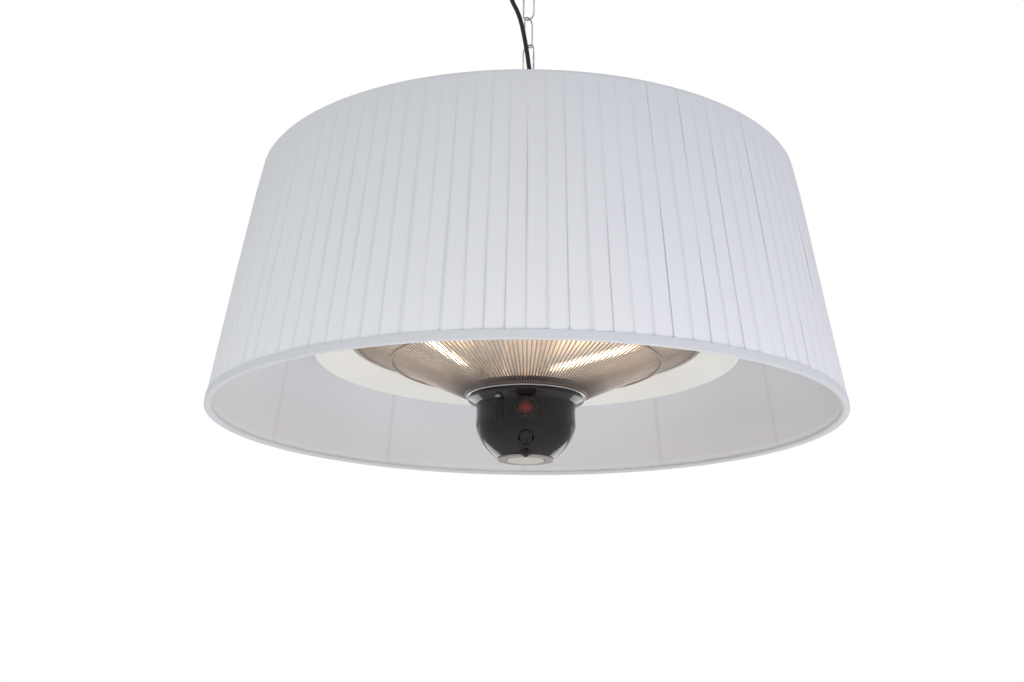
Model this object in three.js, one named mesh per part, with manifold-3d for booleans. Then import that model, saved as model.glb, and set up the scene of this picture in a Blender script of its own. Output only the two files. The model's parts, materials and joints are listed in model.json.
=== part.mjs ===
// Hanging patio heater: halogen heater body in a pleated shade, hung on a link chain with its supply cord
// Millimetres, +Z up, origin at the centre of the ceiling plate's top face, front of the heater towards -Y

import * as THREE from 'three';
import { mergeVertices } from 'three/addons/utils/BufferGeometryUtils.js';
import Module from 'manifold-3d';

const wasm = await Module();
wasm.setup();

// Clearances and cutting overrun
const gap = 0.3;
const overrun = 2;

// Levels, as heights above the shade's bottom rim
const shadeDrop = 590;
const eyeContactHeight = 199;
const coverTopHeight = 158;
const panLipHeight = 67;
const trimHeight = 27;

// Chain
const linkCount = 9;
const link = { pitch: 36, innerWidth: 13, wireRadius: 1, azimuth: -36, around: 10, sides: 5 };

// Supply cord, as a hand-chosen route of x, y and height above the shade's bottom rim
const cordRadius = 2.6;
const cordSides = 8;
const cordSteps = 14;
const cordRoute = [
  [-21.9, -1.5, 532.4], [-21.9, -1.5, 519], [-19, -3.6, 507], [-14.6, -5.9, 496], [-10.9, -7.6, 485],
  [-8.2, -8.9, 474], [-6.1, -10.3, 463], [-3.9, -11.3, 450], [-1.6, -11.9, 435], [0.6, -12, 418],
  [3.1, -11.6, 402], [5.5, -10.7, 388], [7.4, -9.5, 374], [8.5, -8.5, 361], [9.9, -6.8, 347],
  [11, -4.7, 332], [11.7, -2.5, 317], [12, 0.2, 302], [11.8, 2.2, 287], [11.1, 4.5, 272],
  [10.1, 6.6, 258], [8.9, 8.3, 245], [7.5, 9.9, 233], [5.6, 12, 221], [3.3, 15.4, 210],
  [1.1, 19.4, 200], [0, 21.9, 191], [0, 22, 179.6],
];
const cordSplitPoint = 13;

// Cord grips, the same on the canopy and on the heater
const grip = { offset: 22, baseRadius: 7, baseHeight: 5, neckRadius: 5.6, tailRadius: 3.4, tailLength: 21,
  threadRadius: 5.2, threadLength: 6 };
const canopyGripAzimuth = 184;
const heaterGripAzimuth = 90;

// Eye bolts
const eye = { bendRadius: 9, wireRadius: 2.5, shankRadius: 4, around: 12, sides: 6 };

// Ceiling fitting
const plate = { radius: 50, thickness: 3, bossRadius: 9, bossHeight: 10, screwHoleRadius: 2.5,
  screwSpread: 38, cableHoleRadius: 6, cableHoleOffset: 26 };
const canopy = { radius: 60, depth: 36, sheet: 1.2, cornerRadius: 12, rimGap: 0.5 };
const lockCollar = { radius: 11, height: 8 };
const terminal = { width: 34, depth: 16, height: 13, x: -8, y: 27, entryRadius: 2.2, entryDepth: 7,
  entrySpacing: 10 };
const supplyLeadRoute = [[-21.9, -1.5, -27.7], [-21.9, -1.4, -23], [-21.8, 2, -16.5], [-21.7, 9, -11.4],
  [-21.6, 14, -10.2], [-21.6, 18.7, -10]];

// Heater body
const coverSheet = 1.5;
const columnRadius = 25;
const columnDrumRadius = 40;
const columnWall = 1.5;
const columnTopPlate = 3;
const cover = { flatRadius: 46, skirtHeight: 19 };
const coverDomeShares = [[0.99, 0.1], [0.955, 0.23], [0.78, 0.47], [0.42, 0.82], [0.14, 0.97]];
const eyeNut = { radius: 8, height: 7, sides: 6 };
const lockNut = { radius: 9, height: 7, sides: 6 };
const shankTail = 4;
const pan = { innerRadius: 190, flare: 36, rise: 17, sheet: 1.5, skirt: 14, collar: 12 };
const panRadius = pan.innerRadius + pan.flare;
const reflector = { sheet: 1, ceilingHeight: 110, sideRun: 18, rimLip: 3, lip: 1.2, facets: 24 };

// Halogen tubes in a triangle round the centre column
const tubeCount = 3;
const firstTubeAzimuth = 40.5;
const tube = { cornerReach: 8, endRoom: 46.5, hang: 20, radius: 5, wall: 1, filamentRadius: 1.4,
  filamentSides: 5 };
const tubeSpread = Math.PI / tubeCount;
const tubeCorner = pan.innerRadius + tube.cornerReach;
const tubeInradius = tubeCorner * Math.cos(tubeSpread);
const halfTube = tubeCorner * Math.sin(tubeSpread) - tube.endRoom;
const tubeHeight = reflector.ceilingHeight - tube.hang;
const cap = { radius: 7, length: 16, socketDepth: 12 };
const bracket = { sheet: 1.5, halfWidth: 8, drop: 9 };

// Grille
const wireCount = 160;
const grille = { wireRadius: 0.75, innerRadius: 62.5, ringWidth: 4, ringHeight: 3, rimWidth: 3, rimHeight: 3,
  midShare: 0.661, midWireRadius: 1.2, midSides: 5 };

// Control hub
const mountPlate = { radius: 69, thickness: 2, bossBore: 44, bore: 20, wireClearance: 1.3 };
const trim = { radius: 64.5, bore: 50, height: 1.9 };
const hub = { radius: 53.4, height: 64.7, wall: 2.5 };
const hubOutlineShares = [[1.161, 0], [1.161, 0.045], [1.055, 0.1], [1.005, 0.14], [1, 0.475], [0.94, 0.63],
  [0.837, 0.785], [0.706, 0.905], [0.6, 0.98], [0.562, 1]];
const hubScrew = { azimuths: [-121, 59], circleRadius: 55.5, grooveRadius: 5, headRadius: 3.8,
  headHeight: 2.6, shankRadius: 2, reach: 6, seatDepth: 6.7, bossWall: 2.4 };
const switchSeat = { height: 5, padRadius: 13.4, padFace: 54.4 };
const switchHousing = { flangeRadius: 12.6, flangeHeight: 1.8, barrelRadius: 10.6, barrelDepth: 16,
  openRadius: 9.7, openDepth: 9 };
const rocker = { radius: 8.9, halfDepth: 3.2, dip: 1.6, pinRadius: 1.2, tilt: 8 };
const boot = { sheet: 0.8, domeRadius: 11.2, domeHeight: 4.2, shoulder: 1.8 };
const button = { height: -23.5, tilt: 33, halfWidth: 6.6, halfHeight: 8, proud: 1.6, crown: 0.8,
  crownShare: 0.55, stem: 6, sideGap: 0.4, travel: 1.2, flange: 1.2, flangeHeight: 1.4 };
const board = { width: 34, depth: 22, thickness: 1.6, postRadius: 2.2, postSpread: 14 };
const tactSwitch = { halfWidth: 3, height: 3.5 };
const receiver = { radialPlace: 31, height: -38, tilt: 70, collarRadius: 5.9, collarProud: 1.2,
  collarDepth: 9, lensRadius: 3.6, lensProud: 1, domeAngles: [60, 30, 0] };
const bezel = { radius: 30, thickness: 2, openRadius: 20.9, ledgeRadius: 18, barrelHeight: 4.5, barrelWall: 2 };
const disc = { thickness: 3, proud: 0.6 };

// Shade
const shade = { bottomRadius: 335, topRadius: 294, height: 262.5 };
const pleat = { count: 114, depth: 1.6, foldShare: 0.86 };
const fabricThickness = 1;
const strutCount = 11;
const panelsPerStrut = 4;
const firstStrutPanel = 3;
const frameWire = { radius: 1.25, sides: 4 };
const armCount = 3;
const arm = { wireRadius: 2, azimuth: 30, ringDrop: 3.5 };
const fitter = { radius: 14, height: 3 };
const liner = { thickness: 0.6, bottomHeight: 1.5, topDrop: 11 };
const hem = { height: 7, thickness: 0.6, innerHeight: 5 };

// Faces round a turned piece
const bigTurn = 32;
const midTurn = 24;
const smallTurn = 14;
const tinyTurn = 8;

// Finishes
const finish = (color, metalness, roughness, extra) =>
  new THREE.MeshStandardMaterial({ color, metalness, roughness, ...extra });
const zinc = finish(0xa9abad, 1, 0.4);
const whitePaint = finish(0xe9e8e4, 0, 0.5);
const creamPaint = finish(0xdcd9cf, 0, 0.45);
const blackGloss = finish(0x1b1818, 0, 0.15);
const blackPlastic = finish(0x1d1d1f, 0, 0.5);
const polished = finish(0xd8d2c8, 1, 0.18);
const bronzeWire = finish(0x6b5b4e, 1, 0.35);
const darkSteel = finish(0x37332f, 0.6, 0.5);
const ceramic = finish(0xe6e0d2, 0, 0.6);
const quartz = finish(0xffe2b8, 0, 0.05, { transparent: true, opacity: 0.35 });
const glowing = finish(0xffb060, 0, 0.5, { emissive: 0xff8a30, emissiveIntensity: 2 });
const rubberBlack = finish(0x141415, 0, 0.7);
const redPlastic = finish(0xd0201a, 0, 0.3);
const clearVinyl = finish(0xe8e8e8, 0, 0.1, { transparent: true, opacity: 0.3 });
const silver = finish(0xd9dadb, 1, 0.15);
const frosted = finish(0xd8d2bf, 0, 0.5);
const paleGrey = finish(0xb9b8b4, 0, 0.4);
const boardGreen = finish(0x1f5a36, 0, 0.6);
const lensRed = finish(0x4a1512, 0, 0.1);
const cloth = finish(0xd9dade, 0, 0.9);
const liningCloth = finish(0xcfcdd0, 0, 0.85);

// Shared geometry
const radians = THREE.MathUtils.degToRad;
const level = (height) => height - shadeDrop;

function signedVolume(position, index) {
  const [a, b, c] = [new THREE.Vector3(), new THREE.Vector3(), new THREE.Vector3()];
  let total = 0;
  for (let i = 0; i < index.length; i += 3) {
    a.fromBufferAttribute(position, index[i]);
    b.fromBufferAttribute(position, index[i + 1]);
    c.fromBufferAttribute(position, index[i + 2]);
    total += a.dot(b.cross(c));
  }
  return total;
}

// Merges shared vertices, drops faces that close to a line, and turns the faces outwards
function closed(geometry) {
  geometry.deleteAttribute('normal');
  geometry.deleteAttribute('uv');
  const merged = mergeVertices(geometry);
  const source = merged.index.array;
  const kept = [];
  for (let i = 0; i < source.length; i += 3) {
    const [a, b, c] = [source[i], source[i + 1], source[i + 2]];
    if (a !== b && b !== c && c !== a) kept.push(a, b, c);
  }
  if (signedVolume(merged.attributes.position, kept) < 0) kept.reverse();
  merged.setIndex(kept);
  return merged;
}

const solidOf = (geometry) => new wasm.Manifold(new wasm.Mesh({
  numProp: 3,
  vertProperties: Float32Array.from(geometry.attributes.position.array),
  triVerts: Uint32Array.from(geometry.index.array),
}));

function geometryOf(solid) {
  const { vertProperties, triVerts } = solid.getMesh();
  const geometry = new THREE.BufferGeometry();
  geometry.setAttribute('position', new THREE.BufferAttribute(Float32Array.from(vertProperties), 3));
  geometry.setIndex(Array.from(triVerts));
  return geometry;
}

const joined = (...shapes) => geometryOf(shapes.map(solidOf).reduce((a, b) => a.add(b)));
const cut = (base, ...tools) => geometryOf(tools.map(solidOf).reduce((a, b) => a.subtract(b), solidOf(base)));
const shared = (a, b) => geometryOf(solidOf(a).intersect(solidOf(b)));

// A body of revolution about Z from an outline of radius and height, which closes on itself off the axis
function turned(outline, around) {
  const points = outline.map(([radius, height]) => new THREE.Vector2(radius, height));
  if (outline[0][0] > 0) points.push(points[0].clone());
  return closed(new THREE.LatheGeometry(points, around).rotateX(Math.PI / 2));
}

// Corner radius of a faceted hole that still clears a round piece of a radius
const clearing = (radius, around) => radius / Math.cos(Math.PI / around);

// An upright cylinder or prism between two heights
const upright = (radius, bottom, top, around) =>
  closed(new THREE.CylinderGeometry(radius, radius, top - bottom, around).rotateX(Math.PI / 2)
    .translate(0, 0, (bottom + top) / 2));

// A plain round rod between two points
function rod(from, to, radius, around) {
  const along = to.clone().sub(from);
  const turn = new THREE.Quaternion()
    .setFromUnitVectors(new THREE.Vector3(0, 1, 0), along.clone().normalize());
  const geometry = new THREE.CylinderGeometry(radius, radius, along.length(), around).applyQuaternion(turn);
  return closed(geometry.translate(...from.clone().add(to).divideScalar(2).toArray()));
}

// A ring through closed sections of radius and height, one section to each angle
function ringThrough(angles, sectionAt) {
  const sections = angles.map((angle, i) => sectionAt(i).map(([radius, height]) =>
    [radius * Math.cos(angle), radius * Math.sin(angle), height]));
  const size = sections[0].length;
  const index = [];
  for (let i = 0; i < angles.length; i += 1) {
    const next = (i + 1) % angles.length;
    for (let p = 0; p < size; p += 1) {
      const q = (p + 1) % size;
      index.push(i * size + p, next * size + p, next * size + q);
      index.push(i * size + p, next * size + q, i * size + q);
    }
  }
  const geometry = new THREE.BufferGeometry();
  geometry.setAttribute('position', new THREE.Float32BufferAttribute(sections.flat(2), 3));
  geometry.setIndex(index);
  return closed(geometry);
}

const evenAngles = (count) => Array.from({ length: count }, (_, i) => (2 * Math.PI * i) / count);

// A round tube that follows a route of points
function cordGeometry(route, steps) {
  const section = new THREE.Shape();
  for (let i = 0; i <= cordSides; i += 1) {
    const angle = (2 * Math.PI * i) / cordSides;
    const place = [cordRadius * Math.cos(angle), cordRadius * Math.sin(angle)];
    if (i === 0) section.moveTo(...place);
    else section.lineTo(...place);
  }
  const points = route.map((point) => new THREE.Vector3(...point));
  const path = new THREE.CatmullRomCurve3(points, false, 'centripetal');
  return closed(new THREE.ExtrudeGeometry(section, { steps, extrudePath: path }));
}

const at = (azimuth, radius) => [radius * Math.cos(radians(azimuth)), radius * Math.sin(radians(azimuth))];

const heater = new THREE.Group();
function add(name, geometry, material) {
  const mesh = new THREE.Mesh(geometry, material);
  mesh.name = name;
  heater.add(mesh);
  return mesh;
}

// Chain links, each through the next with the wires touching at the contact heights
const linkBend = link.innerWidth / 2 + link.wireRadius;
const contactReach = gap / 2 + link.wireRadius;
const hookContactHeight = eyeContactHeight + linkCount * link.pitch;
function linkGeometry() {
  const geometry = new THREE.TorusGeometry(linkBend / Math.cos(Math.PI / link.around), link.wireRadius,
    link.sides, link.around);
  geometry.rotateZ(Math.PI / link.around);
  const stretch = link.pitch / 2 + contactReach - linkBend;
  const place = geometry.attributes.position;
  for (let i = 0; i < place.count; i += 1) place.setY(i, place.getY(i) + Math.sign(place.getY(i)) * stretch);
  return closed(geometry.rotateX(Math.PI / 2));
}
for (let i = 0; i < linkCount; i += 1) {
  const mesh = add(`chain_link_${i + 1}`, linkGeometry(), zinc);
  mesh.rotation.z = radians(link.azimuth + (i % 2) * 90);
  mesh.position.z = level(hookContactHeight - (i + 0.5) * link.pitch);
}

// Eye bolt with its ring centred on the origin and its shank reaching up by a length
const eyeAzimuth = link.azimuth + 90;
function eyeBolt(reach) {
  const ring = closed(new THREE.TorusGeometry(eye.bendRadius, eye.wireRadius, eye.sides, eye.around)
    .rotateX(Math.PI / 2));
  return joined(ring, upright(eye.shankRadius, eye.bendRadius, reach, tinyTurn)).rotateZ(radians(eyeAzimuth));
}
const eyeSeat = gap / 2 + eye.wireRadius;

// Cord grip with its base's underside at height zero and its thread below
const gripGeometry = () => turned([
  [0, -grip.threadLength], [grip.threadRadius, -grip.threadLength], [grip.threadRadius, 0],
  [grip.baseRadius, 0], [grip.baseRadius, grip.baseHeight], [grip.neckRadius, grip.baseHeight],
  [grip.tailRadius, grip.tailLength], [0, grip.tailLength]], tinyTurn);
const gripHole = (azimuth, bottom, top) =>
  upright(clearing(grip.threadRadius + gap, tinyTurn), bottom, top, tinyTurn)
    .translate(...at(azimuth, grip.offset), 0);

// Ceiling plate with a threaded boss for the eye bolt, two screw holes and a hole for the building's cable
const boreRadius = clearing(eye.shankRadius + gap, tinyTurn);
{
  const bossEnd = -plate.thickness - plate.bossHeight;
  const disk = turned([[0, 0], [plate.radius, 0], [plate.radius, -plate.thickness],
    [plate.bossRadius, -plate.thickness], [plate.bossRadius, bossEnd], [boreRadius, bossEnd],
    [boreRadius, -plate.thickness], [0, -plate.thickness]], midTurn);
  const hole = (radius, x, y) =>
    upright(radius, -plate.thickness - overrun, overrun, tinyTurn).translate(x, y, 0);
  add('ceiling_plate', cut(disk, hole(plate.screwHoleRadius, -plate.screwSpread, 0),
    hole(plate.screwHoleRadius, plate.screwSpread, 0),
    hole(plate.cableHoleRadius, 0, -plate.cableHoleOffset)), zinc);
}
{
  const centre = level(hookContactHeight) - eyeSeat + eye.bendRadius;
  const mesh = add('ceiling_eye_bolt', eyeBolt(-plate.thickness - gap - centre), zinc);
  mesh.position.z = centre;
}

// Canopy cup, its lock collar, terminal block and the lead between cord grip and terminals
{
  const inner = canopy.radius - canopy.sheet;
  const corner = canopy.cornerRadius;
  const chamfer = corner * (1 - Math.SQRT1_2);
  const floor = -canopy.depth + canopy.sheet;
  const cup = turned([
    [boreRadius, -canopy.depth], [canopy.radius - corner, -canopy.depth],
    [canopy.radius - chamfer, -canopy.depth + chamfer], [canopy.radius, -canopy.depth + corner],
    [canopy.radius, -canopy.rimGap], [inner, -canopy.rimGap],
    [inner, -canopy.depth + corner], [inner - chamfer + canopy.sheet / 2, floor + chamfer - canopy.sheet / 2],
    [inner - corner + canopy.sheet, floor], [boreRadius, floor]], bigTurn);
  add('canopy', cut(cup, gripHole(canopyGripAzimuth, -canopy.depth - overrun, floor + overrun)), whitePaint);
  const collarTop = -canopy.depth - gap;
  add('canopy_lock_collar', turned([[boreRadius, collarTop], [lockCollar.radius, collarTop],
    [lockCollar.radius, collarTop - lockCollar.height], [boreRadius, collarTop - lockCollar.height]],
  smallTurn), zinc);
  const gripMesh = add('canopy_cord_grip', gripGeometry().rotateX(Math.PI), blackPlastic);
  gripMesh.position.set(...at(canopyGripAzimuth, grip.offset), -canopy.depth - gap);
}
{
  const top = -plate.thickness - gap;
  const block = closed(new THREE.BoxGeometry(terminal.width, terminal.depth, terminal.height)
    .translate(terminal.x, terminal.y, top - terminal.height / 2));
  const entries = [-1, 0, 1].map((place) => upright(terminal.entryRadius, top - terminal.height - overrun,
    top - terminal.height + terminal.entryDepth, tinyTurn)
    .translate(terminal.x + place * terminal.entrySpacing, terminal.y, 0));
  add('terminal_block', cut(block, ...entries), ceramic);
  add('supply_lead', cordGeometry(supplyLeadRoute, cordSteps / 2), rubberBlack);
}

// Free supply cord in two stretches that meet beside the middle of the chain
{
  const placed = cordRoute.map(([x, y, height]) => [x, y, level(height)]);
  const upper = placed.slice(0, cordSplitPoint + 1);
  const lower = placed.slice(cordSplitPoint);
  const [from, to] = [new THREE.Vector3(...lower[0]), new THREE.Vector3(...lower[1])];
  lower[0] = from.addScaledVector(to.sub(from).normalize(), 2 * gap).toArray();
  add('cord_upper', cordGeometry(upper, cordSteps), rubberBlack);
  add('cord_lower', cordGeometry(lower, cordSteps), rubberBlack);
}

// Hanging stack at the top of the heater: eye bolt, lock nut, shade fitter, cover, column plate, nut
const coverTop = level(coverTopHeight);
const coverUnder = coverTop - coverSheet;
const columnTop = coverUnder - gap;
const columnPlateUnder = columnTop - columnTopPlate;
const fitterBottom = coverTop + gap;
const fitterTop = fitterBottom + fitter.height;
const nutTop = columnPlateUnder - gap;
{
  const centre = level(eyeContactHeight) + eyeSeat - eye.bendRadius;
  const reach = centre - (nutTop - eyeNut.height - shankTail);
  const mesh = add('heater_eye_bolt', eyeBolt(reach).rotateX(Math.PI), zinc);
  mesh.rotation.z = 2 * radians(eyeAzimuth);
  mesh.position.z = centre;
  const nut = (size, top) => cut(upright(size.radius, top - size.height, top, size.sides),
    upright(boreRadius, top - size.height - overrun, top + overrun, tinyTurn));
  add('shade_lock_nut', nut(lockNut, fitterTop + gap + lockNut.height), zinc);
  add('eye_bolt_nut', nut(eyeNut, nutTop), zinc);
}

// Body pan: downward flare between the grille rim and the outer lip
const panLip = level(panLipHeight);
const panInner = panLip + pan.rise;
const panCollarTop = panInner + pan.collar;
const panHole = clearing(pan.innerRadius, bigTurn);
add('body_pan', turned([
  [panRadius, panLip], [panRadius, panLip + pan.skirt], [panRadius - pan.sheet, panLip + pan.skirt],
  [panRadius - pan.sheet, panLip + pan.sheet], [panHole + pan.sheet, panInner + pan.sheet],
  [panHole + pan.sheet, panCollarTop], [panHole, panCollarTop], [panHole, panInner]],
bigTurn), creamPaint);

// Top cover: domed sheet that closes over the pan's skirt, with a flat top for the shade fitter
{
  const rim = panRadius + gap + coverSheet;
  const skirtTop = panLip + cover.skirtHeight;
  const spread = rim - cover.flatRadius;
  const rise = coverTop - skirtTop;
  const outer = coverDomeShares.map(([out, up]) => [cover.flatRadius + out * spread, skirtTop + up * rise]);
  const inner = outer.map(([radius, height]) => [radius - coverSheet / 2, height - coverSheet]).reverse();
  const shell = turned([[rim, panLip + pan.sheet], [rim, skirtTop], ...outer, [cover.flatRadius, coverTop],
    [boreRadius, coverTop], [boreRadius, coverUnder], [cover.flatRadius, coverUnder], ...inner,
    [rim - coverSheet, skirtTop - coverSheet], [rim - coverSheet, panLip + pan.sheet]], bigTurn);
  add('top_cover', cut(shell, gripHole(heaterGripAzimuth, coverUnder - overrun, coverTop + overrun)),
    whitePaint);
  const mesh = add('heater_cord_grip', gripGeometry(), blackPlastic);
  mesh.position.set(...at(heaterGripAzimuth, grip.offset), coverTop + gap);
}

// Cone of the grille's wires, and the levels of the hub's mounting that follow from it
const trimBottom = level(trimHeight);
const trimTop = trimBottom + trim.height;
const mountBottom = trimTop + gap;
const rimOuter = pan.innerRadius - gap;
const grilleInner = grille.innerRadius + grille.ringWidth;
const grilleOuter = rimOuter - grille.rimWidth;
const wireInnerLevel = mountBottom + grille.ringHeight / 2;
const wireOuterLevel = panInner + grille.rimHeight / 2;
const wireSlope = (wireOuterLevel - wireInnerLevel) / (grilleOuter - grilleInner);
const wireLevelAt = (radius) => wireInnerLevel + wireSlope * (radius - grilleInner);
const mountShoulder = wireLevelAt(mountPlate.radius) + grille.wireRadius + mountPlate.wireClearance;

// Centre column: a drum under the cover, and a narrower post down to the hub, with the wiring inside
const reflectorUnder = level(reflector.ceilingHeight);
const columnFoot = mountShoulder + mountPlate.thickness + gap;
const columnDrumUnder = reflectorUnder + reflector.sheet + gap;
{
  const column = turned([
    [columnRadius, columnFoot], [columnRadius, columnDrumUnder], [columnDrumRadius, columnDrumUnder],
    [columnDrumRadius, columnTop], [boreRadius, columnTop], [boreRadius, columnPlateUnder],
    [columnDrumRadius - columnWall, columnPlateUnder],
    [columnDrumRadius - columnWall, columnDrumUnder + columnWall],
    [columnRadius - columnWall, columnDrumUnder + columnWall], [columnRadius - columnWall, columnFoot]], midTurn);
  add('center_column', cut(column, gripHole(heaterGripAzimuth, columnPlateUnder - overrun, columnTop + overrun)),
    polished);
}

// Faceted reflector over the tubes, resting on the pan's collar, under the column's drum
{
  const rest = panCollarTop + gap;
  const { sheet, lip, rimLip } = reflector;
  const postHole = clearing(columnRadius + gap, reflector.facets);
  const flatOuterRadius = pan.innerRadius - reflector.sideRun;
  add('reflector', turned([
    [pan.innerRadius + rimLip, rest], [pan.innerRadius + rimLip, rest + sheet],
    [pan.innerRadius - lip, rest + sheet],
    [flatOuterRadius + lip, reflectorUnder + sheet], [postHole, reflectorUnder + sheet],
    [postHole, reflectorUnder], [flatOuterRadius, reflectorUnder],
    [pan.innerRadius - lip, rest]], reflector.facets), polished);
}

// Tubes, filaments and ceramic caps, made along X and set out round the column
const capInner = halfTube - cap.socketDepth + gap;
const capOuter = capInner + cap.length;
const lyingTurned = (outline, around) => turned(outline, around).rotateY(Math.PI / 2);
for (let n = 0; n < tubeCount; n += 1) {
  const azimuth = firstTubeAzimuth + (n * 360) / tubeCount;
  const place = (mesh, flip) => {
    mesh.rotation.z = radians(azimuth + 90 + flip);
    mesh.position.set(...at(azimuth, tubeInradius), level(tubeHeight));
  };
  const inner = tube.radius - tube.wall;
  place(add(`heat_tube_${n + 1}`, lyingTurned([[tube.radius, -halfTube], [tube.radius, halfTube],
    [inner, halfTube], [inner, -halfTube]], tinyTurn), quartz), 0);
  place(add(`heat_filament_${n + 1}`, lyingTurned([[0, -halfTube], [tube.filamentRadius, -halfTube],
    [tube.filamentRadius, halfTube], [0, halfTube]], tube.filamentSides), glowing), 0);
  const socket = tube.radius + gap;
  for (const [side, flip] of [['a', 0], ['b', 180]]) {
    place(add(`tube_cap_${n + 1}${side}`, lyingTurned([[0, capInner + cap.socketDepth],
      [socket, capInner + cap.socketDepth], [socket, capInner], [cap.radius, capInner], [cap.radius, capOuter],
      [0, capOuter]], tinyTurn), ceramic), flip);
  }
}

// Bent brackets that hang from the reflector's ceiling and hold two neighbouring caps each
{
  const halfCorner = Math.PI / 2 - tubeSpread;
  const short = tubeCorner * Math.sin(tubeSpread) - capOuter - gap;
  const tabPoint = (run, across) => [
    -run * Math.cos(halfCorner) - across * Math.sin(halfCorner),
    -run * Math.sin(halfCorner) + across * Math.cos(halfCorner)];
  const tabEnd = tabPoint(short, -bracket.halfWidth);
  const bend = tabPoint(short, bracket.halfWidth);
  const outerEnd = tabPoint(short - bracket.sheet, -bracket.halfWidth);
  const outerBend = [bend[0] + bracket.sheet, bend[1] + bracket.sheet * Math.tan(halfCorner / 2)];
  const mirrored = ([x, y]) => [x, -y];
  const loop = [tabEnd, bend, mirrored(bend), mirrored(tabEnd), mirrored(outerEnd), mirrored(outerBend),
    outerBend, outerEnd];
  const outline = new THREE.Shape(loop.map(([x, y]) => new THREE.Vector2(x, y)));
  const bottom = level(tubeHeight) - bracket.drop;
  const depth = reflectorUnder - gap - bottom;
  for (let n = 0; n < tubeCount; n += 1) {
    const azimuth = firstTubeAzimuth + ((n + 0.5) * 360) / tubeCount;
    const sheet = new THREE.ExtrudeGeometry(outline, { depth, bevelEnabled: false });
    const mesh = add(`tube_bracket_${n + 1}`, closed(sheet), polished);
    mesh.rotation.z = radians(azimuth);
    mesh.position.set(...at(azimuth, tubeCorner), bottom);
  }
}

// Hub mounting plate, trim ring and grille
const mountBossRadius = grille.innerRadius - gap;
const screwBore = (bottom, top) => hubScrew.azimuths.map((azimuth) =>
  upright(clearing(hubScrew.shankRadius + gap, tinyTurn), bottom, top, tinyTurn)
    .translate(...at(azimuth, hubScrew.circleRadius), 0));
add('hub_mount_plate', cut(turned([
  [mountPlate.bossBore, mountBottom], [mountBossRadius, mountBottom], [mountBossRadius, mountShoulder],
  [mountPlate.radius, mountShoulder], [mountPlate.radius, mountShoulder + mountPlate.thickness],
  [mountPlate.bore, mountShoulder + mountPlate.thickness], [mountPlate.bore, mountShoulder],
  [mountPlate.bossBore, mountShoulder]], midTurn),
...screwBore(mountBottom - overrun, mountBottom + hubScrew.reach)), darkSteel);
add('hub_trim_ring', cut(turned([[trim.bore, trimBottom], [trim.radius, trimBottom], [trim.radius, trimTop],
  [trim.bore, trimTop]], midTurn), ...screwBore(trimBottom - overrun, trimTop + overrun)), silver);

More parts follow.
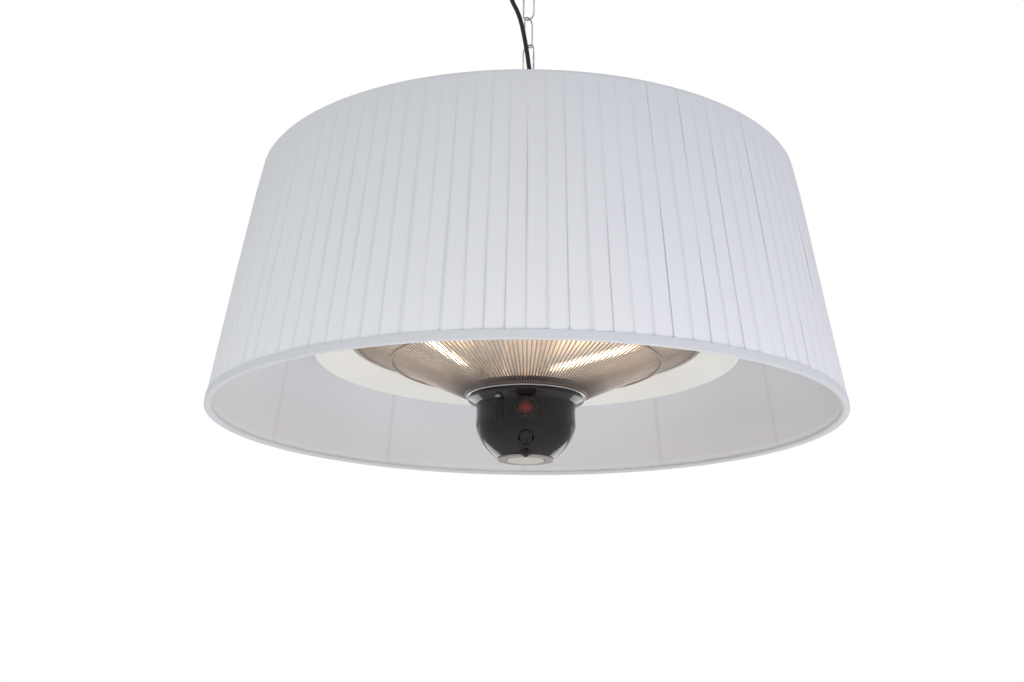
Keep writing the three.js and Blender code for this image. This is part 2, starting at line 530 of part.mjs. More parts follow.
// Grille: radial wires that run out of an inner ring into an outer rim, as one welded piece
function grilleGeometry() {
  const points = [];
  const index = [];
  const point = (radius, angle, height) =>
    points.push([radius * Math.cos(angle), radius * Math.sin(angle), height]) - 1;
  const quad = (a, b, c, d) => index.push(a, b, c, a, c, d);
  const half = grille.wireRadius;
  const wireEnd = (angle, face, middle) => {
    const spread = Math.asin(half / face);
    return {
      leftLow: point(face, angle - spread, middle - half),
      leftHigh: point(face, angle - spread, middle + half),
      rightLow: point(face, angle + spread, middle - half),
      rightHigh: point(face, angle + spread, middle + half),
    };
  };
  const backEdge = (angle, radius, middle, halfHeight) => ({
    low: point(radius, angle, middle - halfHeight), high: point(radius, angle, middle + halfHeight),
  });
  const angles = evenAngles(wireCount);
  const hubEnds = angles.map((angle) => wireEnd(angle, grilleInner, wireInnerLevel));
  const rimEnds = angles.map((angle) => wireEnd(angle, grilleOuter, wireOuterLevel));
  const pairAngles = evenAngles(wireCount / 2).map((angle) => angle + Math.PI / wireCount);
  const hubBacks = pairAngles.map((angle) =>
    backEdge(angle, grille.innerRadius, wireInnerLevel, grille.ringHeight / 2));
  const rimBacks = pairAngles.map((angle) => backEdge(angle, rimOuter, wireOuterLevel, grille.rimHeight / 2));
  hubEnds.forEach((a, i) => {
    const b = rimEnds[i];
    quad(a.leftHigh, b.leftHigh, b.rightHigh, a.rightHigh);
    quad(a.leftLow, a.rightLow, b.rightLow, b.leftLow);
    quad(a.rightLow, a.rightHigh, b.rightHigh, b.rightLow);
    quad(a.leftLow, b.leftLow, b.leftHigh, a.leftHigh);
    const next = (i + 1) % wireCount;
    quad(a.rightLow, hubEnds[next].leftLow, hubEnds[next].leftHigh, a.rightHigh);
    quad(b.rightLow, b.rightHigh, rimEnds[next].leftHigh, rimEnds[next].leftLow);
  });
  pairAngles.forEach((_, i) => {
    const next = (i + 1) % pairAngles.length;
    const [a, b, c] = [2 * i, 2 * i + 1, (2 * i + 2) % wireCount];
    const hubBack = hubBacks[i];
    const nextHubBack = hubBacks[next];
    quad(hubBack.low, hubBack.high, nextHubBack.high, nextHubBack.low);
    const rimBack = rimBacks[i];
    const nextRimBack = rimBacks[next];
    quad(rimBack.low, nextRimBack.low, nextRimBack.high, rimBack.high);
    const fan = (ends, back, nextBack, low) => {
      const [left, right, edge] = low ? ['leftLow', 'rightLow', 'low'] : ['leftHigh', 'rightHigh', 'high'];
      return [[back[edge], ends[a][left], ends[a][right]], [back[edge], ends[a][right], ends[b][left]],
        [back[edge], ends[b][left], ends[b][right]], [back[edge], ends[b][right], ends[c][left]],
        [back[edge], ends[c][left], nextBack[edge]]];
    };
    fan(hubEnds, hubBack, nextHubBack, false).forEach(([p, q, r]) => index.push(p, q, r));
    fan(hubEnds, hubBack, nextHubBack, true).forEach(([p, q, r]) => index.push(p, r, q));
    fan(rimEnds, rimBack, nextRimBack, false).forEach(([p, q, r]) => index.push(p, r, q));
    fan(rimEnds, rimBack, nextRimBack, true).forEach(([p, q, r]) => index.push(p, q, r));
  });
  const geometry = new THREE.BufferGeometry();
  geometry.setAttribute('position', new THREE.Float32BufferAttribute(points.flat(), 3));
  geometry.setIndex(index);
  return closed(geometry);
}
add('grille', grilleGeometry(), bronzeWire);
{
  const midRadius = grilleInner + grille.midShare * (grilleOuter - grilleInner);
  const mesh = add('grille_mid_ring', closed(new THREE.TorusGeometry(midRadius, grille.midWireRadius,
    grille.midSides, bigTurn)), bronzeWire);
  mesh.position.z = wireLevelAt(midRadius)
    - (grille.wireRadius + grille.midWireRadius + gap) * Math.hypot(1, wireSlope);
}

// Hub shell: bowl with open top and bottom, switch pad, screw grooves, board posts and receiver collar
const hubTop = trimBottom - gap;
const hubOutline = hubOutlineShares.map(([out, down]) => [out * hub.radius, hubTop - down * hub.height]);
const hubBottom = hubTop - hub.height;
function hubRadiusAt(height) {
  const z = level(height);
  const lower = hubOutline.findIndex(([, place]) => place <= z);
  const [[r0, z0], [r1, z1]] = [hubOutline[lower - 1], hubOutline[lower]];
  return r0 + ((r1 - r0) * (z - z0)) / (z1 - z0);
}
const switchFrame = new THREE.Matrix4().makeTranslation(0, -switchSeat.padFace, level(switchSeat.height))
  .multiply(new THREE.Matrix4().makeRotationX(Math.PI / 2));
const buttonFrame = new THREE.Matrix4().makeTranslation(0, -hubRadiusAt(button.height), level(button.height))
  .multiply(new THREE.Matrix4().makeRotationX(radians(90 + button.tilt)));
const receiverFrame = new THREE.Matrix4().makeTranslation(0, -receiver.radialPlace, level(receiver.height))
  .multiply(new THREE.Matrix4().makeRotationX(radians(90 + receiver.tilt)));
const boardFace = -button.stem - button.travel - gap - tactSwitch.height;
const grooveTop = hubTop - hubScrew.seatDepth;
{
  const outer = turned([[0, hubTop], ...hubOutline, [0, hubBottom]], midTurn);
  const inside = hubOutline.map(([radius, height]) => [radius - hub.wall, height]);
  const hollow = turned([[0, hubTop + overrun], [inside[0][0], hubTop + overrun], ...inside.slice(1),
    [inside.at(-1)[0], hubBottom - overrun], [0, hubBottom - overrun]], midTurn);
  const pad = upright(switchSeat.padRadius, -hub.wall * 2, 0, smallTurn).applyMatrix4(switchFrame);
  const collar = upright(receiver.collarRadius, -receiver.collarDepth, receiver.collarProud, tinyTurn)
    .applyMatrix4(receiverFrame);
  const screwBosses = hubScrew.azimuths.map((azimuth) => upright(hubScrew.grooveRadius + hubScrew.bossWall,
    hubBottom, hubTop, tinyTurn).translate(...at(azimuth, hubScrew.circleRadius), 0));
  const posts = [-1, 1].map((place) => upright(board.postRadius, boardFace + gap, 0, tinyTurn)
    .translate(place * board.postSpread, 0, 0).applyMatrix4(buttonFrame));
  const cavity = cut(hollow, ...screwBosses, ...posts, collar);
  const grooves = hubScrew.azimuths.map((azimuth) => upright(hubScrew.grooveRadius, hubBottom - overrun,
    grooveTop, smallTurn).translate(...at(azimuth, hubScrew.circleRadius), 0));
  const switchHole = upright(clearing(switchHousing.barrelRadius + gap, smallTurn), -hub.radius / 2, overrun,
    smallTurn).applyMatrix4(switchFrame);
  const buttonHole = upright(1, -hub.radius / 4, hub.radius / 4, smallTurn)
    .scale(button.halfWidth + button.sideGap, button.halfHeight + button.sideGap, 1).applyMatrix4(buttonFrame);
  const lensHole = upright(clearing(receiver.lensRadius + gap, tinyTurn), -receiver.collarDepth - overrun,
    receiver.collarProud + overrun, tinyTurn).applyMatrix4(receiverFrame);
  add('hub_shell', cut(joined(outer, pad, collar), cavity, ...grooves, ...screwBore(grooveTop - overrun,
    hubTop + overrun), switchHole, buttonHole, lensHole), blackGloss);
}

// Screws that hold the hub and the trim ring to the mounting plate
hubScrew.azimuths.forEach((azimuth, i) => {
  const head = grooveTop - gap;
  const mesh = add(`hub_screw_${i + 1}`, turned([[0, head - hubScrew.headHeight],
    [hubScrew.headRadius, head - hubScrew.headHeight], [hubScrew.headRadius, head], [hubScrew.shankRadius, head],
    [hubScrew.shankRadius, mountBottom + hubScrew.reach - gap], [0, mountBottom + hubScrew.reach - gap]],
  tinyTurn), zinc);
  mesh.position.set(...at(azimuth, hubScrew.circleRadius), 0);
});

// Power switch: housing, rocker on its pins, and the clear boot over both
const flangeTop = gap + switchHousing.flangeHeight;
{
  const { flangeRadius, barrelRadius, barrelDepth, openRadius, openDepth } = switchHousing;
  add('switch_housing', turned([[0, -barrelDepth], [barrelRadius, -barrelDepth], [barrelRadius, gap],
    [flangeRadius, gap], [flangeRadius, flangeTop], [openRadius, flangeTop], [openRadius, -openDepth],
    [0, -openDepth]], smallTurn).applyMatrix4(switchFrame), blackPlastic);
  const wedge = new THREE.Shape([[openRadius, rocker.halfDepth], [0, rocker.dip], [-openRadius, rocker.halfDepth],
    [-openRadius, -rocker.halfDepth], [openRadius, -rocker.halfDepth]].map(([x, y]) => new THREE.Vector2(x, y)));
  const prism = closed(new THREE.ExtrudeGeometry(wedge, { depth: 2 * openRadius, bevelEnabled: false })
    .translate(0, 0, -openRadius).rotateX(Math.PI / 2).rotateZ(Math.PI / 2));
  const barrel = upright(rocker.radius, -openRadius, openRadius, smallTurn);
  const pins = upright(rocker.pinRadius, gap - openRadius, openRadius - gap, tinyTurn).rotateY(Math.PI / 2);
  const tipped = joined(shared(barrel, prism), pins).rotateX(radians(-rocker.tilt));
  add('power_rocker', tipped.applyMatrix4(switchFrame), redPlastic);
  const base = flangeTop + gap;
  const { sheet, domeRadius, domeHeight, shoulder } = boot;
  add('switch_boot', turned([[0, base + domeHeight + sheet], [domeRadius - shoulder, base + domeHeight + sheet],
    [domeRadius, base + domeHeight - shoulder + sheet], [domeRadius, base + sheet], [flangeRadius, base + sheet],
    [flangeRadius, base], [domeRadius - sheet, base], [domeRadius - sheet, base + domeHeight - shoulder],
    [domeRadius - shoulder - sheet / 2, base + domeHeight], [0, base + domeHeight]], smallTurn)
    .applyMatrix4(switchFrame), clearVinyl);
}

// Mode button with its retaining flange, and the board with the tact switch that it presses
{
  const crownFoot = button.proud - button.crown;
  const flangeShare = 1 + button.flange / button.halfWidth;
  const stemShare = tactSwitch.halfWidth / button.halfWidth;
  const flangeFoot = -button.stem + button.flangeHeight / 2;
  const lipTop = flangeFoot + button.flangeHeight;
  add('mode_button', turned([[0, button.proud], [button.crownShare, button.proud - button.crown / 4],
    [1, crownFoot], [1, lipTop], [flangeShare, lipTop], [flangeShare, flangeFoot],
    [stemShare, flangeFoot], [stemShare, -button.stem], [0, -button.stem]], smallTurn)
    .scale(button.halfWidth, button.halfHeight, 1).applyMatrix4(buttonFrame), blackGloss);
  const sheet = closed(new THREE.BoxGeometry(board.width, board.depth, board.thickness)
    .translate(0, 0, boardFace - board.thickness / 2));
  const key = closed(new THREE.BoxGeometry(2 * tactSwitch.halfWidth, 2 * tactSwitch.halfWidth,
    2 * tactSwitch.height).translate(0, 0, boardFace));
  add('control_board', joined(sheet, key).applyMatrix4(buttonFrame), boardGreen);
}

// Remote-control receiver lens in its collar
{
  const { lensRadius, lensProud, collarDepth } = receiver;
  const dome = receiver.domeAngles.map((angle) => [lensRadius * Math.cos(radians(angle)),
    lensProud + lensRadius * Math.sin(radians(angle))]);
  add('receiver_lens', turned([[0, lensProud + lensRadius], ...dome, [lensRadius, -collarDepth],
    [0, -collarDepth]], tinyTurn).applyMatrix4(receiverFrame), lensRed);
}

// Bottom bezel and frosted disc
{
  const top = hubBottom - gap;
  const face = top - bezel.thickness;
  const barrelRadius = hubOutline.at(-1)[0] - hub.wall - gap;
  const barrelTop = hubBottom + bezel.barrelHeight;
  const discTop = face + disc.thickness;
  const ledgeTop = discTop + gap + bezel.thickness;
  const ring = turned([[bezel.openRadius, face], [bezel.radius, face], [bezel.radius, top], [barrelRadius, top],
    [barrelRadius, barrelTop], [barrelRadius - bezel.barrelWall, barrelTop],
    [barrelRadius - bezel.barrelWall, ledgeTop], [bezel.ledgeRadius, ledgeTop],
    [bezel.ledgeRadius, discTop + gap], [bezel.openRadius, discTop + gap]], midTurn);
  const notch = upright(receiver.collarRadius + gap, -receiver.collarDepth - overrun,
    receiver.collarProud + 2 * receiver.lensRadius + overrun, smallTurn).applyMatrix4(receiverFrame);
  add('bottom_bezel', cut(ring, notch), paleGrey);
  const discRadius = bezel.openRadius - gap;
  add('bottom_disc', turned([[0, face - disc.proud], [discRadius, face - disc.proud], [discRadius, discTop],
    [0, discTop]], midTurn), frosted);
}

// Shade: pleated fabric, wire frame with spider arms, lining and hem tape
const shadeBottom = level(0);
const shadeRadiusAt = (height) => shade.bottomRadius
  + ((shade.topRadius - shade.bottomRadius) * height) / shade.height;
const shadeSection = (outset, thickness, bottom, top) => [
  [shadeRadiusAt(bottom) + outset, shadeBottom + bottom], [shadeRadiusAt(top) + outset, shadeBottom + top],
  [shadeRadiusAt(top) + outset - thickness, shadeBottom + top],
  [shadeRadiusAt(bottom) + outset - thickness, shadeBottom + bottom]];
{
  const angles = Array.from({ length: pleat.count * 2 }, (_, i) =>
    ((Math.floor(i / 2) + (i % 2) * pleat.foldShare) * 2 * Math.PI) / pleat.count);
  add('shade_fabric', ringThrough(angles, (i) =>
    shadeSection(-(i % 2) * pleat.depth, fabricThickness, 0, shade.height)), cloth);
}
const frameOutset = -pleat.depth - fabricThickness - gap - frameWire.radius;
const linerOutset = frameOutset - frameWire.radius - gap;
const ringPanels = strutCount * panelsPerStrut;
const panelAngles = evenAngles(ringPanels);
{
  const ringTop = shade.height - arm.ringDrop;
  const ringRadius = (height) => shadeRadiusAt(height) + frameOutset;
  const wireRing = (height) => closed(new THREE.TorusGeometry(ringRadius(height), frameWire.radius,
    frameWire.sides, ringPanels).translate(0, 0, shadeBottom + height));
  const ringBottom = frameWire.radius + gap;
  const struts = Array.from({ length: strutCount }, (_, i) => {
    const azimuth = ((firstStrutPanel + i * panelsPerStrut) * 360) / ringPanels;
    return rod(new THREE.Vector3(...at(azimuth, ringRadius(ringBottom)), shadeBottom + ringBottom),
      new THREE.Vector3(...at(azimuth, ringRadius(ringTop)), shadeBottom + ringTop),
      frameWire.radius, frameWire.sides);
  });
  const arms = Array.from({ length: armCount }, (_, i) => {
    const azimuth = arm.azimuth + (i * 360) / armCount;
    return rod(new THREE.Vector3(...at(azimuth, fitter.radius - arm.wireRadius), (fitterBottom + fitterTop) / 2),
      new THREE.Vector3(...at(azimuth, ringRadius(ringTop) - frameWire.radius / 2), shadeBottom + ringTop),
      arm.wireRadius, frameWire.sides);
  });
  const washer = turned([[boreRadius, fitterBottom], [fitter.radius, fitterBottom], [fitter.radius, fitterTop],
    [boreRadius, fitterTop]], smallTurn);
  add('shade_frame', joined(wireRing(ringBottom), wireRing(ringTop), ...struts, ...arms, washer), whitePaint);
}
add('shade_liner', ringThrough(panelAngles, () =>
  shadeSection(linerOutset, liner.thickness, liner.bottomHeight, shade.height - liner.topDrop)), liningCloth);
{
  const sag = shade.bottomRadius * (1 - Math.cos(Math.PI / ringPanels));
  const outer = sag + gap + hem.thickness;
  const inner = linerOutset - liner.thickness - gap;
  const place = (height, outset) => [shadeRadiusAt(height) + outset, shadeBottom + height];
  add('hem_tape', ringThrough(panelAngles, () => [
    place(-gap - hem.thickness, outer), place(hem.height, outer), place(hem.height, outer - hem.thickness),
    place(-gap, outer - hem.thickness), place(-gap, inner), place(hem.innerHeight, inner),
    place(hem.innerHeight, inner - hem.thickness), place(-gap - hem.thickness, inner - hem.thickness)]), cloth);
}

export default heater;
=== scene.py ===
import json
import math

import bmesh
import bpy
import numpy as np
from mathutils import Matrix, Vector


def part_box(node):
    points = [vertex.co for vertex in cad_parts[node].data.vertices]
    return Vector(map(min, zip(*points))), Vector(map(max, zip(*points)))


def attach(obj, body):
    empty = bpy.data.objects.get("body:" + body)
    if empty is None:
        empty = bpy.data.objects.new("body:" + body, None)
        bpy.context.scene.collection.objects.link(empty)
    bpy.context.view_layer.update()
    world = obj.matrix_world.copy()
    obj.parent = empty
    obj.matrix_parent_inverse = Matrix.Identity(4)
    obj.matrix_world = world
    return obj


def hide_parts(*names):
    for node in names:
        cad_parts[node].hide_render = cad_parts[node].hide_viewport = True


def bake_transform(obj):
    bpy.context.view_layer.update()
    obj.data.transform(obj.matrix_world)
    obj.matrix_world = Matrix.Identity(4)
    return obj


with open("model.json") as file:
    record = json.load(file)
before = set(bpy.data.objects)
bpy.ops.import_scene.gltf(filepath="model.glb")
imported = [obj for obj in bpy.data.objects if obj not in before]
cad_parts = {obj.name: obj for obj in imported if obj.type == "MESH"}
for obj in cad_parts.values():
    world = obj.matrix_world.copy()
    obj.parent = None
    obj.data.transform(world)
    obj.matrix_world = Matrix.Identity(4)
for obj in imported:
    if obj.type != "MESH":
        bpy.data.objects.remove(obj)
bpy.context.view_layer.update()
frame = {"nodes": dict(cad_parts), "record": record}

# Sizes are in millimetres, and the heater's heights count up from the shade's bottom rim
mm = 0.001
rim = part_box("shade_fabric")[0].z

# Shared sizes: a fit's gap, the eye bolts' holes, the body's sheet, the canopy's depth, the cover's top
gap = 0.3
shank_hole = 4.7
body_sheet = 1.5
canopy_depth = 36.0
cover_top = 158.0


def level(height):
    """Metres up from the ceiling plate's top face, the frame's zero, for a height above the shade's rim."""
    return rim + height * mm


# Camera: in front of the heater and below it, looking up
lens_mm, sensor_mm = 42.176, 36.0
camera_place = (-0.00851, -1.26084, -0.85376)
camera_pitch, camera_yaw, camera_roll = np.radians([15.741, -0.326, 0.611])


def make_camera():
    """Right, up and back directions from yaw and pitch, then turned by the roll about the line of sight."""
    forward = np.array([math.sin(camera_yaw) * math.cos(camera_pitch),
                        math.cos(camera_yaw) * math.cos(camera_pitch), math.sin(camera_pitch)])
    right = np.array([math.cos(camera_yaw), -math.sin(camera_yaw), 0.0])
    up = np.cross(right, forward)
    turn = np.array([[math.cos(camera_roll), math.sin(camera_roll)],
                     [-math.sin(camera_roll), math.cos(camera_roll)]])
    right, up = turn @ np.array([right, up])
    data = bpy.data.cameras.new("camera")
    data.lens = lens_mm
    data.sensor_width = sensor_mm
    data.clip_start = 0.02
    camera = bpy.data.objects.new("camera", data)
    bpy.context.scene.collection.objects.link(camera)
    pose = np.eye(4)
    pose[:3] = np.column_stack([right, up, -forward, camera_place])
    camera.matrix_world = Matrix(pose.tolist())
    bpy.context.scene.camera = camera


make_camera()


# Surfaces worked out as whole arrays: each is a pair of points and four-cornered faces

def grid_faces(rows, columns, close_rows=False, close_columns=False):
    """The corner numbers of each face between neighbouring rows and columns, joined round where it closes."""
    row = np.arange(rows if close_rows else rows - 1)[:, None]
    column = np.arange(columns if close_columns else columns - 1)[None, :]
    next_row = (row + 1) % rows
    next_column = (column + 1) % columns
    corners = [row * columns + column, row * columns + next_column,
               next_row * columns + next_column, next_row * columns + column]
    return np.stack(corners, axis=-1).reshape(-1, 4)


def turned(profile, around, closed=True):
    """Each profile point of radius and height goes once round the Z axis."""
    radius, height = np.asarray(profile, float).T
    angle = np.linspace(0, 2 * np.pi, around, endpoint=False)
    points = np.stack([np.outer(radius, np.cos(angle)), np.outer(radius, np.sin(angle)),
                       np.repeat(height[:, None], around, axis=1)], axis=-1)
    return points.reshape(-1, 3), grid_faces(len(radius), around, closed, True)


def swept(path, radius, sides, across=(0.0, 0.0, 1.0), closed=False):
    """A round section carried along a path: its first direction is square to the path and to across."""
    path = np.asarray(path, float)
    radius = np.broadcast_to(radius, len(path)).astype(float)
    if closed:
        along = np.roll(path, -1, axis=0) - np.roll(path, 1, axis=0)
    else:
        along = np.gradient(path, axis=0)
        path = np.vstack([path[:1], path, path[-1:]])
        along = np.vstack([along[:1], along, along[-1:]])
        radius = np.concatenate([[0.0], radius, [0.0]])
    along /= np.linalg.norm(along, axis=1, keepdims=True)
    side = np.cross(along, across)
    side /= np.linalg.norm(side, axis=1, keepdims=True)
    rise = np.cross(side, along)
    angle = np.linspace(0, 2 * np.pi, sides, endpoint=False)[None, :, None]
    section = np.cos(angle) * side[:, None] + np.sin(angle) * rise[:, None]
    points = path[:, None] + radius[:, None, None] * section
    return points.reshape(-1, 3), grid_faces(len(path), sides, closed, True)


def joined(*surfaces):
    """Several surfaces as one, each face's corner numbers moved up by the points before it."""
    starts = np.cumsum([0] + [len(points) for points, _ in surfaces[:-1]])
    return (np.vstack([points for points, _ in surfaces]),
            np.vstack([faces + start for (_, faces), start in zip(surfaces, starts)]))


def placed(surface, pose):
    """A surface with its points moved by a four by four matrix."""
    points, faces = surface
    return points @ pose[:3, :3].T + pose[:3, 3], faces


def moved(x=0.0, y=0.0, z=0.0):
    """A shift in metres."""
    pose = np.eye(4)
    pose[:3, 3] = (x, y, z)
    return pose


def tipped(degrees):
    """A turn about the X axis."""
    pose = np.eye(4)
    c, s = math.cos(math.radians(degrees)), math.sin(math.radians(degrees))
    pose[1:3, 1:3] = [[c, -s], [s, c]]
    return pose


def swung(degrees):
    """A turn about the Z axis."""
    pose = np.eye(4)
    c, s = math.cos(math.radians(degrees)), math.sin(math.radians(degrees))
    pose[:2, :2] = [[c, -s], [s, c]]
    return pose


def off_axis(distance, degrees, height=0.0):
    """A shift in metres away from the Z axis, in a direction counted from X."""
    turn = math.radians(degrees)
    return moved(distance * math.cos(turn), distance * math.sin(turn), height)


def rounded(corners, radius, steps, closed=True):
    """Each corner becomes a parabola between points one radius along its sides, or less on a short side."""
    corners = np.asarray(corners, float)
    before = np.roll(corners, 1, axis=0) - corners
    after = np.roll(corners, -1, axis=0) - corners
    reach = np.broadcast_to(radius, len(corners)).astype(float)
    long_before, long_after = np.linalg.norm(before, axis=1), np.linalg.norm(after, axis=1)
    reach = np.minimum(reach, np.minimum(long_before, long_after) * 0.45)
    start = corners + before / long_before[:, None] * reach[:, None]
    end = corners + after / long_after[:, None] * reach[:, None]
    t = np.linspace(0, 1, steps)[None, :, None]
    curve = (1 - t) ** 2 * start[:, None] + 2 * t * (1 - t) * corners[:, None] + t ** 2 * end[:, None]
    if closed:
        return curve.reshape(-1, corners.shape[1])
    return np.vstack([corners[:1], curve[1:-1].reshape(-1, corners.shape[1]), corners[-1:]])


def section(inner, outer, start, end):
    """Corners of a rectangular section between two radii and two heights."""
    return [(inner, start), (outer, start), (outer, end), (inner, end)]


def lathed(corners, rounding, steps, around, solid=False, base=0.0):
    """A turned piece from rounded corners of radius and height in millimetres, on a base in metres.

    A solid one begins and ends on the axis, and any other closes on itself.
    """
    line = rounded(corners, rounding, steps, closed=not solid)
    return turned(line * mm + (0, base), around, closed=not solid)


def smooth_route(points, per_span):
    """Centripetal Catmull-Rom curve: each span blends the lines through its four nearest points."""
    points = np.asarray(points, float)
    points = np.vstack([2 * points[0] - points[1], points, 2 * points[-1] - points[-2]])
    a, b, c, d = (points[i:len(points) - 3 + i, None] for i in range(4))
    t1 = np.linalg.norm(b - a, axis=2, keepdims=True) ** 0.5
    t2 = t1 + np.linalg.norm(c - b, axis=2, keepdims=True) ** 0.5
    t3 = t2 + np.linalg.norm(d - c, axis=2, keepdims=True) ** 0.5
    t = t1 + (t2 - t1) * np.linspace(0, 1, per_span, endpoint=False)[None, :, None]
    ab = ((t1 - t) * a + t * b) / t1
    bc = ((t2 - t) * b + (t - t1) * c) / (t2 - t1)
    cd = ((t3 - t) * c + (t - t2) * d) / (t3 - t2)
    abc = ((t2 - t) * ab + t * bc) / t2
    bcd = ((t3 - t) * bc + (t - t1) * cd) / (t3 - t1)
    curve = ((t2 - t) * abc + (t - t1) * bcd) / (t2 - t1)
    return np.vstack([curve.reshape(-1, points.shape[1]), points[-2]])


def circle(radius, count, height=0.0):
    """Points of a level circle round the Z axis."""
    angle = np.linspace(0, 2 * np.pi, count, endpoint=False)
    return np.column_stack([radius * np.cos(angle), radius * np.sin(angle), np.full(count, height)])


def in_rows(values, count):
    """A grid with a row for each value, which holds it count times."""
    return np.repeat(np.asarray(values, float)[:, None], count, axis=1)


def wrapped(spread, turn, height):
    """Points in metres round the Z axis from grids of radius, angle and height."""
    return np.stack([spread * np.cos(turn), spread * np.sin(turn), height], axis=-1) * mm + (0, 0, rim)


# Shader nodes, and the node groups for effects that several finishes share

def fill(tree, made, inputs):
    """A node's inputs linked to sockets or set to values, where a colour is three numbers."""
    for key, value in inputs.items():
        socket = made.inputs[key]
        if isinstance(value, bpy.types.NodeSocket):
            tree.links.new(value, socket)
        else:
            socket.default_value = (*value, 1.0) if socket.type == "RGBA" else value


def node(tree, kind, inputs=None, **settings):
    """A new node with its settings and inputs."""
    made = tree.nodes.new(kind)
    for name, value in settings.items():
        setattr(made, name, value)
    fill(tree, made, inputs or {})
    return made


def worked_out(tree, operation, *values):
    """The result of a Math node."""
    return node(tree, "ShaderNodeMath", dict(enumerate(values)), operation=operation).outputs[0]


def ranged(tree, value, start, end, low=0.0, high=1.0):
    """A value carried from one range to another, and held at its ends."""
    return node(tree, "ShaderNodeMapRange", {"Value": value, "From Min": start, "From Max": end,
                                             "To Min": low, "To Max": high}).outputs[0]


def noise(tree, place, scale, detail=2.0):
    """Cloudy noise over a place."""
    cloud = node(tree, "ShaderNodeTexNoise", {"Vector": place, "Scale": scale, "Detail": detail})
    return cloud.outputs["Fac"]


def mixed(tree, factor, first, second):
    """The colour between two colours, by a factor."""
    return node(tree, "ShaderNodeMix", {0: factor, 6: first, 7: second}, data_type="RGBA").outputs[2]


def object_place(tree):
    """A point's place in metres in the shared frame."""
    return node(tree, "ShaderNodeTexCoord").outputs["Object"]


def piece_value(tree, name):
    """A value that the piece carries at each of its points."""
    return node(tree, "ShaderNodeAttribute", attribute_name=name).outputs["Fac"]


def group_of(name, inputs, outputs):
    """An empty node group with named sockets, its inputs' sockets, and the node that takes its results."""
    tree = bpy.data.node_groups.new(name, "ShaderNodeTree")
    for sockets, way in ((inputs, "INPUT"), (outputs, "OUTPUT")):
        for label, kind in sockets.items():
            tree.interface.new_socket(label, in_out=way, socket_type=f"NodeSocket{kind}")
    return tree, tree.nodes.new("NodeGroupInput").outputs, tree.nodes.new("NodeGroupOutput")


def make_surface_grain():
    """Colour and roughness drift between two values each by cloudy noise, and fine noise gives the height."""
    tree, given, leave = group_of(
        "surface_grain",
        {"Vector": "Vector", "Scale": "Float", "Dark": "Color", "Light": "Color", "Smooth": "Float",
         "Rough": "Float"},
        {"Colour": "Color", "Roughness": "Float", "Height": "Float"})
    place, scale = given["Vector"], given["Scale"]
    cloud = ranged(tree, noise(tree, place, scale, 3.0), 0.3, 0.7)
    smear = noise(tree, place, worked_out(tree, "MULTIPLY", scale, 5.0))
    fill(tree, leave, {
        "Colour": mixed(tree, cloud, given["Dark"], given["Light"]),
        "Roughness": ranged(tree, smear, 0.3, 0.7, given["Smooth"], given["Rough"]),
        "Height": noise(tree, place, worked_out(tree, "MULTIPLY", scale, 30.0)),
    })
    return tree


def make_cloth_weave():
    """Threads cross as a sine along each way of the cloth, whose product is the height, with long slubs."""
    tree, given, leave = group_of("cloth_weave", {"Vector": "Vector", "Threads": "Float"},
                                  {"Height": "Float", "Slub": "Float"})
    parts = node(tree, "ShaderNodeSeparateXYZ", {"Vector": given["Vector"]}).outputs
    warp, weft = (worked_out(tree, "SINE", worked_out(tree, "MULTIPLY", parts[way], given["Threads"]))
                  for way in ("X", "Y"))
    long_way = node(tree, "ShaderNodeMapping", {"Vector": given["Vector"], "Scale": (900.0, 14.0, 1.0)})
    fill(tree, leave, {"Height": worked_out(tree, "MULTIPLY", warp, weft),
                       "Slub": noise(tree, long_way.outputs[0], 1.0)})
    return tree


def make_dust_veil():
    """A mask of settled dust: strongest where the surface faces up, and broken by noise."""
    tree, given, leave = group_of("dust_veil", {"Vector": "Vector", "Amount": "Float"}, {"Mask": "Float"})
    normal = node(tree, "ShaderNodeNewGeometry").outputs["Normal"]
    upward = ranged(tree, node(tree, "ShaderNodeSeparateXYZ", {"Vector": normal}).outputs["Z"], 0.2, 1.0)
    spread = worked_out(tree, "MULTIPLY", upward, noise(tree, given["Vector"], 24.0, 4.0))
    fill(tree, leave, {"Mask": worked_out(tree, "MULTIPLY", spread, given["Amount"])})
    return tree


surface_grain = make_surface_grain()
cloth_weave = make_cloth_weave()
dust_veil = make_dust_veil()
dust_colour = (0.42, 0.40, 0.37)


# Finishes

def blank_finish(name, constants):
    """A material with a Principled shader whose sockets hold constants, named with underscores for spaces."""
    finish = bpy.data.materials.new(name)
    finish.use_nodes = True
    tree = finish.node_tree
    shader = tree.nodes["Principled BSDF"]
    fill(tree, shader, {label.replace("_", " "): value for label, value in constants.items()})
    return finish, tree, shader


def bumped(tree, shader, height, depth, strength=0.5):
    """A height that changes over the surface feeds the shader's normal through a bump of a depth."""
    bump = node(tree, "ShaderNodeBump", {"Height": height, "Distance": depth * mm, "Strength": strength})
    fill(tree, shader, {"Normal": bump.outputs["Normal"]})


def grained(name, dark, light, smooth, rough, scale, depth, dust=0.0, **constants):
    """A finish whose colour and roughness drift between two values, with fine grain and perhaps dust."""
    finish, tree, shader = blank_finish(name, constants)
    place = object_place(tree)
    grain = node(tree, "ShaderNodeGroup", {"Vector": place, "Scale": scale, "Dark": dark, "Light": light,
                                           "Smooth": smooth, "Rough": rough}, node_tree=surface_grain).outputs
    colour = grain["Colour"]
    if dust:
        veil = node(tree, "ShaderNodeGroup", {"Vector": place, "Amount": dust}, node_tree=dust_veil)
        colour = mixed(tree, veil.outputs["Mask"], colour, dust_colour)
    fill(tree, shader, {"Base Color": colour, "Roughness": grain["Roughness"]})
    bumped(tree, shader, grain["Height"], depth)
    return finish, tree, shader


